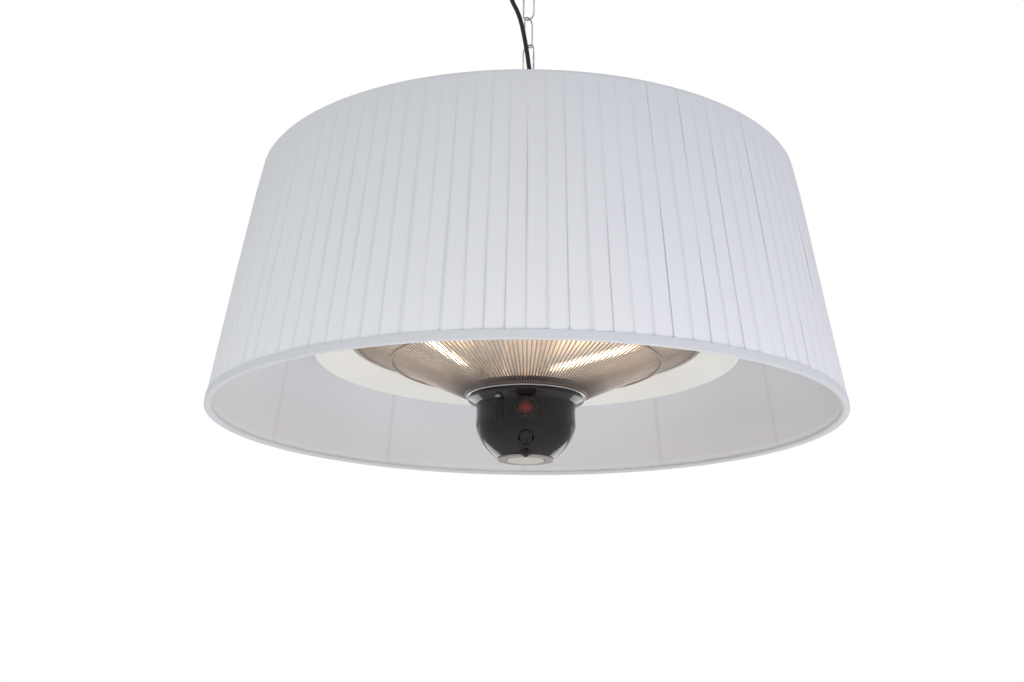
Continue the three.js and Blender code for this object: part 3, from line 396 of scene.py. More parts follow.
def zinc_plating():
    return grained("zinc_plating", dark=(0.32, 0.32, 0.325), light=(0.54, 0.54, 0.545), smooth=0.25,
                   rough=0.45, scale=60, depth=0.05, Metallic=1.0)


def white_paint():
    return grained("white_paint", dark=(0.74, 0.74, 0.725), light=(0.78, 0.78, 0.765), smooth=0.32,
                   rough=0.42, scale=9, depth=0.03, dust=0.12)


def cream_paint():
    return grained("cream_paint", dark=(0.825, 0.815, 0.78), light=(0.85, 0.84, 0.81), smooth=0.32,
                   rough=0.42, scale=14, depth=0.03)


def black_gloss():
    return grained("black_gloss", dark=(0.013, 0.010, 0.0095), light=(0.018, 0.015, 0.0145), smooth=0.07,
                   rough=0.12, scale=30, depth=0.004, Specular_IOR_Level=0.38)


def black_plastic():
    return grained("black_plastic", dark=(0.010, 0.010, 0.011), light=(0.016, 0.016, 0.018), smooth=0.4,
                   rough=0.55, scale=70, depth=0.05, dust=0.2)


def cord_rubber():
    return grained("cord_rubber", dark=(0.006, 0.006, 0.0065), light=(0.012, 0.012, 0.0125), smooth=0.5,
                   rough=0.65, scale=90, depth=0.04, Specular_IOR_Level=0.25)


# Painted reflection: the steel's warm peach colour stands in for the coils' warm light on it.
def polished_steel():
    return grained("polished_steel", dark=(0.92, 0.83, 0.73), light=(0.96, 0.88, 0.79), smooth=0.42,
                   rough=0.55, scale=16, depth=0.04, Metallic=0.15)


def bronze_wire():
    """Bronze-grey wire, with painted shade where a piece asks for it: at the hub, the rim and on the ring."""
    finish, tree, shader = grained("bronze_wire", dark=(0.42, 0.36, 0.315), light=(0.54, 0.475, 0.42),
                                   smooth=0.32, rough=0.47, scale=40, depth=0.03, Metallic=0.6)
    colour = shader.inputs["Base Color"].links[0].from_socket
    # The dark colour is painted shade, mixed in by the piece's painted shade value.
    fill(tree, shader, {"Base Color": mixed(tree, piece_value(tree, "painted_wire_shade"), colour, (0.10, 0.08, 0.07))})
    return finish, tree, shader


def dark_steel():
    return grained("dark_steel", dark=(0.052, 0.048, 0.045), light=(0.085, 0.079, 0.073), smooth=0.35,
                   rough=0.5, scale=35, depth=0.04, Metallic=0.5)


def ceramic_white():
    return grained("ceramic_white", dark=(0.70, 0.66, 0.58), light=(0.80, 0.76, 0.68), smooth=0.55, rough=0.7,
                   scale=90, depth=0.06)


def silver_trim():
    return grained("silver_trim", dark=(0.50, 0.50, 0.505), light=(0.62, 0.62, 0.625), smooth=0.14,
                   rough=0.26, scale=50, depth=0.01, Metallic=1.0)


def pale_grey():
    return grained("pale_grey", dark=(0.274, 0.258, 0.248), light=(0.304, 0.288, 0.278), smooth=0.3,
                   rough=0.4, scale=60, depth=0.02)


def frosted_plastic():
    return grained("frosted_plastic", dark=(0.53, 0.504, 0.449), light=(0.58, 0.551, 0.489), smooth=0.4,
                   rough=0.5, scale=120, depth=0.03)


def circuit_board():
    return grained("circuit_board", dark=(0.01, 0.08, 0.035), light=(0.02, 0.14, 0.06), smooth=0.3,
                   rough=0.45, scale=200, depth=0.03)


def receiver_lens():
    return grained("receiver_lens", dark=(0.022, 0.010, 0.009), light=(0.045, 0.018, 0.016), smooth=0.05,
                   rough=0.1, scale=200, depth=0.002)


def lit_by(tree, shader, share, colour, unlit=(0.0, 0.0, 0.0)):
    """Emission between an unlit and a lit colour, by a share that changes over the piece."""
    fill(tree, shader, {"Emission Color": mixed(tree, share, unlit, colour)})


def quartz():
    """Clear fused quartz, nearly see-through, with the warm light of the coil spread along it."""
    finish, tree, shader = grained("quartz", dark=(0.9, 0.8, 0.68), light=(1.0, 0.92, 0.8), smooth=0.04,
                                   rough=0.1, scale=60, depth=0.004, Alpha=0.3, Emission_Strength=2.9)
    lit_by(tree, shader, piece_value(tree, "glow"), (1.0, 0.85, 0.68))
    return finish, tree, shader


def filament():
    """Tungsten coil at working heat, with cooler leads."""
    finish, tree, shader = grained("filament", dark=(0.45, 0.40, 0.36), light=(0.6, 0.55, 0.5), smooth=0.4,
                                   rough=0.5, scale=300, depth=0.01, Emission_Strength=36.0)
    lit_by(tree, shader, piece_value(tree, "glow"), (1.0, 0.68, 0.42))
    return finish, tree, shader


def red_lamp():
    """Dark red translucent rocker: the small lamp behind it glows through its middle and fades outwards."""
    finish, tree, shader = grained("red_lamp", dark=(0.022, 0.003, 0.003), light=(0.04, 0.004, 0.004),
                                   smooth=0.2, rough=0.3, scale=200, depth=0.01, Emission_Strength=0.27,
                                   Specular_IOR_Level=0.3)
    middle = [(low + high) / 2 for low, high in zip(*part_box("power_rocker"))]
    off = node(tree, "ShaderNodeVectorMath", {0: object_place(tree), 1: middle}, operation="DISTANCE")
    outwards = ranged(tree, off.outputs["Value"], 1.4 * mm, 7.6 * mm)
    lit_by(tree, shader, outwards, (0.015, 0.0, 0.0), unlit=(0.95, 0.045, 0.055))
    return finish, tree, shader


def clear_vinyl():
    """Soft clear boot: most light goes straight through, with a soft gloss on top."""
    return grained("clear_vinyl", dark=(0.03, 0.026, 0.026), light=(0.05, 0.045, 0.045), smooth=0.08,
                   rough=0.2, scale=80, depth=0.02, Alpha=0.25)


def woven(name, threads, smooth, rough, depth, strength, **constants):
    """Cloth of crossing threads on the piece's own map, whose slub varies the roughness."""
    finish, tree, shader = blank_finish(name, constants)
    place = node(tree, "ShaderNodeUVMap", uv_map="cloth").outputs["UV"]
    weave = node(tree, "ShaderNodeGroup", {"Vector": place, "Threads": threads},
                 node_tree=cloth_weave).outputs
    fill(tree, shader, {"Roughness": ranged(tree, weave["Slub"], 0.0, 1.0, smooth, rough)})
    bumped(tree, shader, weave["Height"], depth, strength)
    return finish, tree, shader, weave["Slub"]


def pleated_cloth():
    """Matt off-white cloth: woven threads, long slubs, and painted shade in each fold and towards the top."""
    finish, tree, shader, slub = woven("pleated_cloth", threads=14000.0, smooth=0.82, rough=0.95, depth=0.06,
                                       strength=0.35, Sheen_Weight=0.15, Sheen_Roughness=0.5)
    tone_and_painted_shade = worked_out(tree, "MULTIPLY_ADD", slub, 0.16, piece_value(tree, "tone_and_painted_shade"))
    # The first colour is the cloth in painted shade, the second the cloth at its lightest.
    fill(tree, shader, {"Base Color": mixed(tree, tone_and_painted_shade, (0.575, 0.585, 0.615), (0.745, 0.75, 0.775))})
    return finish, tree, shader


def lining_cloth():
    """Smooth lining: close weave, with a faint painted strut shadow where a strut lies behind it."""
    finish, tree, shader, slub = woven("lining_cloth", threads=17000.0, smooth=0.7, rough=0.85, depth=0.04,
                                       strength=0.3, Sheen_Weight=0.1)
    plain = mixed(tree, slub, (0.70, 0.69, 0.705), (0.735, 0.725, 0.74))
    # The darker colour is a painted shadow, mixed in where the strut value is high.
    fill(tree, shader, {"Base Color": mixed(tree, piece_value(tree, "strut"), plain, (0.65, 0.64, 0.652))})
    return finish, tree, shader


makers = {
    "zinc_steel": zinc_plating, "white_paint": white_paint, "cream_paint": cream_paint,
    "black_gloss": black_gloss, "black_plastic": black_plastic, "cord_rubber": cord_rubber,
    "polished_steel": polished_steel, "bronze_wire": bronze_wire, "dark_steel": dark_steel,
    "ceramic_white": ceramic_white, "quartz": quartz, "filament": filament, "red_lamp": red_lamp,
    "clear_vinyl": clear_vinyl, "silver_trim": silver_trim, "frosted_plastic": frosted_plastic,
    "pale_grey": pale_grey, "circuit_board": circuit_board, "receiver_lens": receiver_lens,
    "shade_fabric": pleated_cloth, "liner_fabric": lining_cloth,
}
finishes = {slot: maker()[0] for slot, maker in makers.items()}
slot_of = {part["node"]: part["material_slot"] for part in frame["record"]["subparts"]}
body_of = {name: body for body, names in frame["record"]["behaviour"]["bodies"].items() for name in names}


# Pieces

def as_object(name, surface, slot, sharp=35.0, uv=None, values=None):
    """A surface as a smooth-shaded object: equal points merged, faces turned outwards, and its finish."""
    points, faces = surface
    mesh = bpy.data.meshes.new(name)
    mesh.vertices.add(len(points))
    mesh.vertices.foreach_set("co", np.ascontiguousarray(points, np.float32).ravel())
    mesh.loops.add(faces.size)
    mesh.loops.foreach_set("vertex_index", np.ascontiguousarray(faces, np.int32).ravel())
    mesh.polygons.add(len(faces))
    mesh.polygons.foreach_set("loop_start", np.arange(0, faces.size, 4, dtype=np.int32))
    mesh.update(calc_edges=True)
    if uv is not None:
        layer = mesh.uv_layers.new(name="cloth")
        layer.data.foreach_set("uv", np.ascontiguousarray(uv[faces.ravel()], np.float32).ravel())
    for label, value in (values or {}).items():
        attribute = mesh.attributes.new(label, "FLOAT", "POINT")
        attribute.data.foreach_set("value", np.ascontiguousarray(value, np.float32).ravel())
    shape = bmesh.new()
    shape.from_mesh(mesh)
    bmesh.ops.remove_doubles(shape, verts=shape.verts, dist=1e-6)
    bmesh.ops.recalc_face_normals(shape, faces=shape.faces)
    shape.to_mesh(mesh)
    shape.free()
    mesh.polygons.foreach_set("use_smooth", np.ones(len(mesh.polygons), bool))
    mesh.set_sharp_from_angle(angle=math.radians(sharp))
    mesh.materials.append(finishes[slot])
    piece = bpy.data.objects.new(name, mesh)
    bpy.context.scene.collection.objects.link(piece)
    return piece


def dressed(node_name, surface, sharp=35.0, **extra):
    """A fine surface that stands for the node of that name, with its finish, on its body."""
    piece = as_object(f"{node_name}_shape", surface, slot_of[node_name], sharp, **extra)
    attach(piece, body_of[node_name])
    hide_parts(node_name)
    return piece


# Supply cord in two stretches, which meet beside the middle of the chain, and its grips
cord_radius = 2.6 * mm
cord_route = np.array([
    (-21.9, -1.5, 532.4), (-21.9, -1.5, 519), (-19, -3.6, 507), (-14.6, -5.9, 496), (-10.9, -7.6, 485),
    (-8.2, -8.9, 474), (-6.1, -10.3, 463), (-3.9, -11.3, 450), (-1.6, -11.9, 435), (0.6, -12, 418),
    (3.1, -11.6, 402), (5.5, -10.7, 388), (7.4, -9.5, 374), (8.5, -8.5, 361), (9.9, -6.8, 347),
    (11, -4.7, 332), (11.7, -2.5, 317), (12, 0.2, 302), (11.8, 2.2, 287), (11.1, 4.5, 272),
    (10.1, 6.6, 258), (8.9, 8.3, 245), (7.5, 9.9, 233), (5.6, 12, 221), (3.3, 15.4, 210),
    (1.1, 19.4, 200), (0, 21.9, 191), (0, 22, 179.6),
]) * mm + (0, 0, rim)
cord_split = 13
grip_offset = 22.0
canopy_grip_turn, heater_grip_turn = 184.0, 90.0


def make_cord(name, route):
    """A round cord along its route."""
    line = smooth_route(route, 8)
    piece = as_object(f"{name}_shape", swept(line, cord_radius, 16, across=(1.0, 0.0, 0.0)), "cord_rubber")
    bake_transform(piece)
    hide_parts(name)
    return piece


def grip_surface():
    """A cord grip from its seat up: a round foot, a neck, and a tapered tail with shallow ribs."""
    bore, seat, foot, neck, tail = cord_radius / mm, 6.6, 7.0, 5.6, 3.4
    foot_bottom, foot_top, foot_end, neck_start, length = 0.8, 4.2, 5.0, 5.2, 21.0
    rib_count, rib_height = 6, 0.35
    base = rounded([(bore, 0), (seat, 0), (foot, foot_bottom), (foot, foot_top), (seat, foot_end),
                    (neck, neck_start)], 0.4, 3, closed=False)
    share = np.linspace(0, 1, 61)
    ribs = rib_height * np.sin(share * 2 * np.pi * rib_count) * (1 - share) ** 0.5
    relief = np.column_stack([neck + (tail - neck) * share + ribs,
                              neck_start + (length - neck_start) * share])
    return turned(np.vstack([base, relief[1:], [(bore, length)]]) * mm, 48)


def make_grips_and_cords():
    """The two cord grips, and the cord that runs from one to the other."""
    upper_seat = off_axis(grip_offset * mm, canopy_grip_turn, -(canopy_depth + gap) * mm) @ tipped(180)
    lower_seat = off_axis(grip_offset * mm, heater_grip_turn, level(cover_top + gap))
    upper = dressed("canopy_cord_grip", placed(grip_surface(), upper_seat))
    lower = dressed("heater_cord_grip", placed(grip_surface(), lower_seat))
    make_cord("cord_upper", cord_route[:cord_split + 1])
    make_cord("cord_lower", cord_route[:cord_split - 1:-1])


make_grips_and_cords()


# Chain, eye bolts and ceiling fitting. The contacts of the chain and the lower shank's end are in metres
link_pitch, link_bend, link_wire = 36.0, 7.5, 1.0
link_count = 9
link_azimuth = -36.0
weld_share, weld_length = 0.16, 1.6
eye_bend, eye_wire, eye_shank = 9.0, 2.5, 4.0
eye_azimuth = link_azimuth + 90
thread_pitch, thread_depth, shank_chamfer = 1.25, 0.25, 0.6
plate_thickness = 3.0
heater_contact, shank_end = level(199), level(141.9)
hook_contact = heater_contact + link_count * link_pitch * mm


def link_surface():
    """A welded link: two straight strands and two half circles, a little thicker at the weld."""
    straight = link_pitch / 2 + gap / 2 + link_wire - link_bend
    turn = np.linspace(0, np.pi, 17)
    path = []
    for side in (1, -1):
        strand = np.column_stack([np.full(7, link_bend), np.zeros(7), np.linspace(-1, 1, 7) * straight])
        bend = np.column_stack([link_bend * np.cos(turn), np.zeros(17), link_bend * np.sin(turn) + straight])
        path += [side * strand[:-1], side * bend[:-1]]
    path = np.vstack(path)
    weld = 1 + weld_share * np.exp(-((path[:, 2] / weld_length) ** 2)) * (path[:, 0] > 0)
    return swept(path * mm, link_wire * mm * weld, 12, across=(0.0, 1.0, 0.0), closed=True)


def make_chain():
    """Nine links, each a quarter turn from the last."""
    for i in range(link_count):
        pose = moved(z=hook_contact - (i + 0.5) * link_pitch * mm) @ swung(link_azimuth + (i % 2) * 90)
        dressed(f"chain_link_{i + 1}", placed(link_surface(), pose), 60)


def eye_surface(reach):
    """An eye bolt about its ring's centre: a round ring, and a threaded shank that reaches up."""
    upright = circle(eye_bend * mm, 64)[:, [0, 2, 1]]
    ring = swept(upright, eye_wire * mm, 20, across=(0.0, 1.0, 0.0), closed=True)
    neck = eye_bend + eye_wire + 1.5
    turns = max(int((reach - neck) / thread_pitch), 1)
    height = np.linspace(neck, reach - shank_chamfer, turns * 4 + 1)
    crest = eye_shank - thread_depth * (1 - np.cos(np.arange(len(height)) * np.pi / 2)) / 2
    shank = np.vstack([[(0, eye_bend), (eye_shank, eye_bend)], np.column_stack([crest, height]),
                       [(eye_shank - shank_chamfer, reach), (0, reach)]])
    return placed(joined(ring, turned(shank * mm, 32, closed=False)), swung(eye_azimuth))


def make_eye_bolts():
    """The ceiling's eye bolt with its shank up, and the heater's with its shank down.

    Tipping the lower one over turns its ring the other way, so it is swung back by twice the azimuth.
    """
    rise = (eye_bend - eye_wire - gap / 2) * mm
    centre = hook_contact + rise
    dressed("ceiling_eye_bolt", placed(eye_surface(-centre / mm - plate_thickness - gap), moved(z=centre)))
    centre = heater_contact - rise
    upside_down = moved(z=centre) @ swung(2 * eye_azimuth) @ tipped(180)
    dressed("heater_eye_bolt", placed(eye_surface((centre - shank_end) / mm), upside_down))


def make_canopy():
    """A cup with a rounded edge and a hole for the eye bolt's shank. Its heights count from the ceiling."""
    outer, sheet, corner, open_edge, fine = 60.0, 1.2, 12.0, 0.5, 0.3
    inner, floor, ceiling_side = outer - sheet, -canopy_depth + sheet, -0.5
    cup = [(shank_hole, -canopy_depth), (outer, -canopy_depth), (outer, ceiling_side), (inner, ceiling_side),
           (inner, floor), (shank_hole, floor)]
    dressed("canopy", lathed(cup, [fine, corner, open_edge, open_edge, corner - sheet, fine], 12, 160))


def make_lock_collar():
    """The collar that holds the canopy up, with a screw in its side. Its heights count from the ceiling."""
    top, radius, height = -canopy_depth - gap, 11.0, 8.0
    collar = lathed(section(shank_hole, radius, top, top - height), 1.2, 5, 72)
    inside, outside, screw_radius, socket_radius, socket_depth = 9.0, 11.6, 2.0, 0.9, 1.0
    socket = outside - socket_depth
    screw = lathed([(0, inside), (screw_radius, inside), (screw_radius, outside), (socket_radius, outside),
                    (socket_radius, socket), (0, socket)], 0.2, 3, 24, solid=True)
    place = moved(z=(top - height / 2) * mm) @ swung(180) @ tipped(90)
    dressed("canopy_lock_collar", joined(collar, placed(screw, place)))


make_eye_bolts()
make_canopy()
make_lock_collar()
make_chain()


# Heater body
pan_radius, pan_inner, pan_lip, pan_rise = 226.0, 190.0, 67.0, 17.0
column_radius, column_drum = 25.0, 40.0
plate_top = 35.9
cover_flat, cover_skirt = 46.0, 19.0
cover_dome_shares = [(0.99, 0.1), (0.955, 0.23), (0.78, 0.47), (0.42, 0.82), (0.14, 0.97)]


def make_top_cover():
    """Domed sheet: a straight skirt, a curve through the dome's points, and a flat top with a hole."""
    edge, foot, skirt_top = pan_radius + gap + body_sheet, pan_lip + body_sheet, pan_lip + cover_skirt
    spread, rise = edge - cover_flat, cover_top - skirt_top
    dome = [(cover_flat + out * spread, skirt_top + up * rise) for out, up in cover_dome_shares]
    dome = smooth_route([(edge, skirt_top), *dome, (cover_flat, cover_top)], 8)
    outer = np.vstack([[(edge, foot)], dome, [(shank_hole, cover_top)]])
    inner = outer[::-1] - (body_sheet / 2, body_sheet)
    inner[0], inner[-1] = (shank_hole, cover_top - body_sheet), (edge - body_sheet, foot)
    dressed("top_cover", turned(np.vstack([outer, inner]) * mm + (0, rim), 192))


def make_body_pan():
    """Flare from the grille's rim down to a rounded lip, with a skirt and a collar behind it."""
    skirt_height, collar_height, play = 14, 12, 1.2
    skirt_top, skirt_inner = pan_lip + skirt_height, pan_radius - body_sheet
    bore, flare_top = pan_inner + play, pan_lip + pan_rise
    collar_top = flare_top + collar_height
    corners = [(pan_radius, pan_lip), (pan_radius, skirt_top), (skirt_inner, skirt_top),
               (skirt_inner, pan_lip + body_sheet), (bore + body_sheet, flare_top + body_sheet),
               (bore + body_sheet, collar_top), (bore, collar_top), (bore, flare_top)]
    dressed("body_pan", lathed(corners, [1.4, 0.5, 0.5, 0.8, 1.5, 0.5, 0.5, 2.2], 6, 192, base=rim))


def make_center_column():
    """A drum under the cover, and a post down to the hub with a thin joint line round it."""
    foot, joint, under, top, top_plate = plate_top + gap, 60.0, 111.3, 156.2, 3.0
    inner, drum_inner = column_radius - body_sheet, column_drum - body_sheet
    joint_line = [(column_radius - deep, joint + up)
                  for deep, up in ((0, -0.5), (0.9, -0.2), (0.9, 0.6), (0, 0.9))]
    corners = [(column_radius, foot), *joint_line, (column_radius, under), (column_drum, under),
               (column_drum, top), (shank_hole, top), (shank_hole, top - top_plate),
               (drum_inner, top - top_plate), (drum_inner, under + body_sheet), (inner, under + body_sheet),
               (inner, foot)]
    dressed("center_column", lathed(corners, 0.3, 3, 96, base=rim))


def make_hub_mounting():
    """Dark plate over the wires' inner ends, and the bright trim ring under it."""
    bottom, shoulder, boss, boss_bore, radius, bore = 29.2, plate_top - 2, 62.2, 44.0, 69.0, 20.0
    corners = [(boss_bore, bottom), (boss, bottom), (boss, shoulder), (radius, shoulder), (radius, plate_top),
               (bore, plate_top), (bore, shoulder), (boss_bore, shoulder)]
    dressed("hub_mount_plate", lathed(corners, 0.6, 4, 144, base=rim))
    trim_bore, trim_radius, trim_bottom, trim_top = 50.0, 64.5, 27.0, 28.9
    trim = section(trim_bore, trim_radius, trim_bottom, trim_top)
    dressed("hub_trim_ring", lathed(trim, 0.7, 5, 160, base=rim))


make_top_cover()
make_body_pan()
make_center_column()
make_hub_mounting()


# Heating tubes
tube_turns = [40.5, 160.5, 280.5]
tube_inradius, tube_height, tube_half = 99.0, 90.0, 125.0
tube_radius, tube_wall = 5.0, 1.0
coil_half, lit_half, lit_fade = 92.0, 46.0, 34.0
cap_radius, cap_length, socket_depth = 7.0, 16.0, 12.0


def lying(profile, around, closed=True):
    """A body of revolution about the X axis from radius and place along it, in millimetres."""
    radius, along = np.asarray(profile, float).T * mm
    points, faces = turned(np.column_stack([radius, along]), around, closed)
    return points[:, [2, 0, 1]], faces


def lit_share(along):
    """How much the coil's light reaches a place along the tube: all in the middle, none at the ends."""
    return np.clip((lit_half + lit_fade - np.abs(along)) / lit_fade, 0, 1) ** 1.5


def coil_surface():
    """A wound filament: a helix that opens out over its first and last fortieth, with straight leads."""
    turns, wire, winding, steps, opening = 60, 0.36, 1.04, 10, 40
    share = np.linspace(0, 1, turns * steps + 1)
    angle = share * turns * 2 * np.pi
    hold = np.clip(np.minimum(share, 1 - share) * opening, 0, 1)
    coil = np.column_stack([(share - 0.5) * 2 * coil_half, winding * hold * np.cos(angle),
                            winding * hold * np.sin(angle)])
    lead = tube_half - 1
    path = np.vstack([[(-lead, 0, 0)], coil, [(lead, 0, 0)]]) * mm
    return swept(path, wire * mm, 6, across=(0.12, 0.55, 0.83))


def make_tubes():
    """Three quartz tubes round the column, each with its coil and a ceramic cap at each end."""
    mouth, socket, bore = tube_half - socket_depth + gap, tube_radius + gap, tube_radius - tube_wall
    floor, end = mouth + socket_depth, mouth + cap_length
    cap = rounded([(0, floor), (socket, floor), (socket, mouth), (cap_radius, mouth),
                   (cap_radius, end), (0, end)], 0.7, 4, closed=False)
    rings, sides, outer_glow = 51, 32, 0.12
    stations = np.linspace(-tube_half, tube_half, rings)
    glass = np.vstack([np.column_stack([np.full(rings, tube_radius), stations]),
                       np.column_stack([np.full(rings, bore), stations[::-1]])])
    glow = np.repeat(lit_share(glass[:, 1]) * np.where(glass[:, 0] > bore, outer_glow, 1.0), sides)
    coil = coil_surface()
    heat = lit_share(coil[0][:, 0] / mm)
    for n, turn in enumerate(tube_turns, 1):
        seat = swung(turn) @ moved(tube_inradius * mm, 0, level(tube_height)) @ swung(90)
        dressed(f"heat_tube_{n}", placed(lying(glass, sides), seat), values={"glow": glow})
        dressed(f"heat_filament_{n}", placed(coil, seat), 80, values={"glow": heat})
        for side, flip in (("a", 0), ("b", 180)):
            dressed(f"tube_cap_{n}{side}", placed(lying(cap, 32, closed=False), seat @ swung(flip)))


make_tubes()


# Grille
wire_count, wire_radius = 160, 0.75
wire_inner, wire_outer = (66.5, 30.7), (186.7, 85.5)
wire_slope = 0.456
band_bore, band_bottom, band_top = 62.5, 29.2, 32.2
edge_radius, edge_bottom, edge_top = 189.7, 84.0, 87.0
mid_ring_radius, mid_ring_wire = 146.0, 1.2


def cone_height(radius):
    """Height of the wires' cone at a radius."""
    share = (radius - wire_inner[0]) / (wire_outer[0] - wire_inner[0])
    return wire_inner[1] + share * (wire_outer[1] - wire_inner[1])


def make_grille():
    """Straight round wires from the inner band to the outer rim, all turned copies of one.

    The painted shade is strongest by the hub, goes out over the middle, and comes back at the rim.
    """
    reach = np.array([64.5, 70.0, 78.0, 90.0, 110.0, 150.0, 180.0, 188.4])
    path = np.column_stack([reach, np.zeros(8), cone_height(reach)]) * mm + (0, 0, rim)
    wire, faces = swept(path, wire_radius * mm, 8)
    turn = np.arange(wire_count) * 2 * np.pi / wire_count
    c, s = np.cos(turn)[:, None], np.sin(turn)[:, None]
    copies = np.stack([wire[:, 0] * c - wire[:, 1] * s, wire[:, 0] * s + wire[:, 1] * c,
                       np.broadcast_to(wire[:, 2], (wire_count, len(wire)))], axis=-1)
    wires = (copies.reshape(-1, 3),
             (faces[None] + np.arange(wire_count)[:, None, None] * len(wire)).reshape(-1, 4))
    band = lathed(section(band_bore, wire_inner[0], band_bottom, band_top), 0.9, 4, 160, base=rim)
    edge = lathed(section(wire_outer[0], edge_radius, edge_bottom, edge_top), 1.2, 5, 192, base=rim)
    whole = joined(wires, band, edge)
    out = np.hypot(whole[0][:, 0], whole[0][:, 1]) / mm
    painted_wire_shade = np.interp(out, [68, 76, 100, 176, 188], [0.85, 0.6, 0.0, 0.0, 0.6])
    dressed("grille", whole, 50, values={"painted_wire_shade": painted_wire_shade})


def make_grille_mid_ring():
    """A thin ring under the wires, which it clears square to their slope."""
    below = (wire_radius + mid_ring_wire + gap) * math.hypot(1, wire_slope)
    line = circle(mid_ring_radius * mm, 192, level(cone_height(mid_ring_radius) - below))
    ring = swept(line, mid_ring_wire * mm, 10, closed=True)
    # Painted shade darkens the whole ring.
    dressed("grille_mid_ring", ring, 60, values={"painted_wire_shade": np.full(len(ring[0]), 0.5)})


make_grille()
make_grille_mid_ring()


# Control hub: sizes of the shell, its screws' grooves, the switch, the button's pocket and the receiver
hub_radius, hub_height, hub_top, hub_wall = 53.4, 64.7, 26.7, 2.5
hub_outline_shares = [(1.161, 0), (1.161, 0.045), (1.055, 0.1), (1.005, 0.14), (1, 0.475), (0.94, 0.63),
                      (0.837, 0.785), (0.706, 0.905), (0.6, 0.98), (0.562, 1)]
hub_bottom, hub_inner_limit = hub_top - hub_height, 48.5
screw_turns = (-121.0, 59.0)
screw_circle, groove_radius, groove_top, groove_ledge = 55.5, 5.0, 20.0, 0.01
switch_height, pad_face, pad_radius = 5.0, 54.4, 13.4
switch_flange, switch_face, rocker_tilt = 12.6, 2.1, 8.0
button_height, button_tilt, button_wide, button_tall = -23.5, 33.0, 6.6, 8.0
pocket_room, pocket_depth = 0.65, 3.2
receiver_place, receiver_height, receiver_tilt = 31.0, -38.0, 70.0


def facing_front(distance, height, tilt):
    """A seat on the hub's front: Z points out of the hub, Y up, at a distance in front of the axis."""
    return moved(0, -distance * mm, level(height)) @ tipped(90 + tilt)


switch_seat = facing_front(pad_face, switch_height, 0)
receiver_seat = facing_front(receiver_place, receiver_height, receiver_tilt)


def hub_line():
    """The hub's outer line from its top edge down: a straight rim, then a curve through the outline."""
    points = [(out * hub_radius, hub_top - down * hub_height) for out, down in hub_outline_shares]
    flare = smooth_route(points[1:5], 11)
    bowl = smooth_route(points[4:], 9)
    return np.vstack([points[:1], flare, bowl[1:]])


def hub_reach(height):
    """Radius of the hub's outer line at a height."""
    radius, line_height = hub_line().T
    return np.interp(-height, -line_height, radius)


def hub_grid():
    """Heights and angles of the shell's grid, closer at the grooves and round the button."""
    ledge = [groove_top, groove_top - groove_ledge]
    pocket_rows, pocket_columns = np.arange(-33, -14, 0.2), np.arange(-99, -81, 0.28)
    groove_columns = [np.arange(-7, 7, 0.14) + turn for turn in screw_turns]
    height = np.unique(np.concatenate([hub_line()[:, 1], ledge, pocket_rows]))[::-1]
    degrees = np.concatenate([np.arange(-180, 180, 1.5), *groove_columns, pocket_columns])
    return height, np.radians(np.unique(np.round(degrees, 3)))


def hub_surface():
    """The turned shell, cut by the upright screw grooves and sunk by a pocket for the button.

    A groove is a circle's near side seen along each ray from the axis. The pocket is an ellipse on the slope,
    sunk along the slope's own normal. The inner side has few rows, and steps in behind the pocket.
    """
    height, angle = hub_grid()
    radius = hub_reach(height)
    spread, rise = in_rows(radius, len(angle)), in_rows(height, len(angle))
    for turn in np.radians(screw_turns):
        off = np.angle(np.exp(1j * (angle - turn)))
        chord = groove_radius ** 2 - (screw_circle * np.sin(off)) ** 2
        cut = screw_circle * np.cos(off) - np.sqrt(np.maximum(chord, 0))
        cut = np.where((chord > 0) & (np.abs(off) < 1), cut, np.inf)
        spread = np.where(rise < groove_top - groove_ledge / 2, np.minimum(spread, cut[None]), spread)
    from_front = np.angle(np.exp(1j * (angle + np.pi / 2)))
    slope = math.cos(math.radians(button_tilt)), math.sin(math.radians(button_tilt))
    across = from_front[None] * radius[:, None] / (button_wide + pocket_room)
    along = (rise - button_height) / slope[0] / (button_tall + pocket_room)
    pocket = across ** 2 + along ** 2 < 1
    spread = spread - np.where(pocket, pocket_depth * slope[0], 0)
    rise = rise + np.where(pocket, pocket_depth * slope[1], 0)
    inner_height = np.array([hub_bottom, -25.0, -4.0, 18.0, hub_top])
    step_in = [0, 4, 0, 0, 0]
    inner_radius = np.minimum(hub_reach(inner_height) - hub_wall, hub_inner_limit) - step_in
    spread = np.vstack([spread, in_rows(inner_radius, len(angle))])
    rise = np.vstack([rise, in_rows(inner_height, len(angle))])
    return wrapped(spread, angle, rise).reshape(-1, 3), grid_faces(*spread.shape, True, True)


def make_hub_shell():
    """Glossy shell with its flat switch pad and the collar of the receiver."""
    pad_back, collar_bore, collar_radius, collar_back, collar_proud = -6.0, 3.9, 5.9, -7.0, 1.2
    pad = lathed(section(0, pad_radius, pad_back, 0), 0.7, 5, 72, solid=True)
    collar = lathed(section(collar_bore, collar_radius, collar_back, collar_proud), 0.5, 5, 48)
    dressed("hub_shell", joined(hub_surface(), placed(pad, switch_seat), placed(collar, receiver_seat)), 40)


def make_hub_screws():
    """Two screws with domed heads at the top of their grooves."""
    top, bottom, chamfer, shank_top = groove_top - gap, groove_top - gap - 2.6, 1.0, 34.9
    face_radius, head_radius, shank_radius = 2.4, 3.8, 2.0
    corners = [(0, bottom), (face_radius, bottom), (head_radius, bottom + chamfer), (head_radius, top),
               (shank_radius, top), (shank_radius, shank_top), (0, shank_top)]
    screw = lathed(corners, 0.8, 5, 32, solid=True, base=rim)
    for n, turn in enumerate(screw_turns, 1):
        dressed(f"hub_screw_{n}", placed(screw, off_axis(screw_circle * mm, turn)))


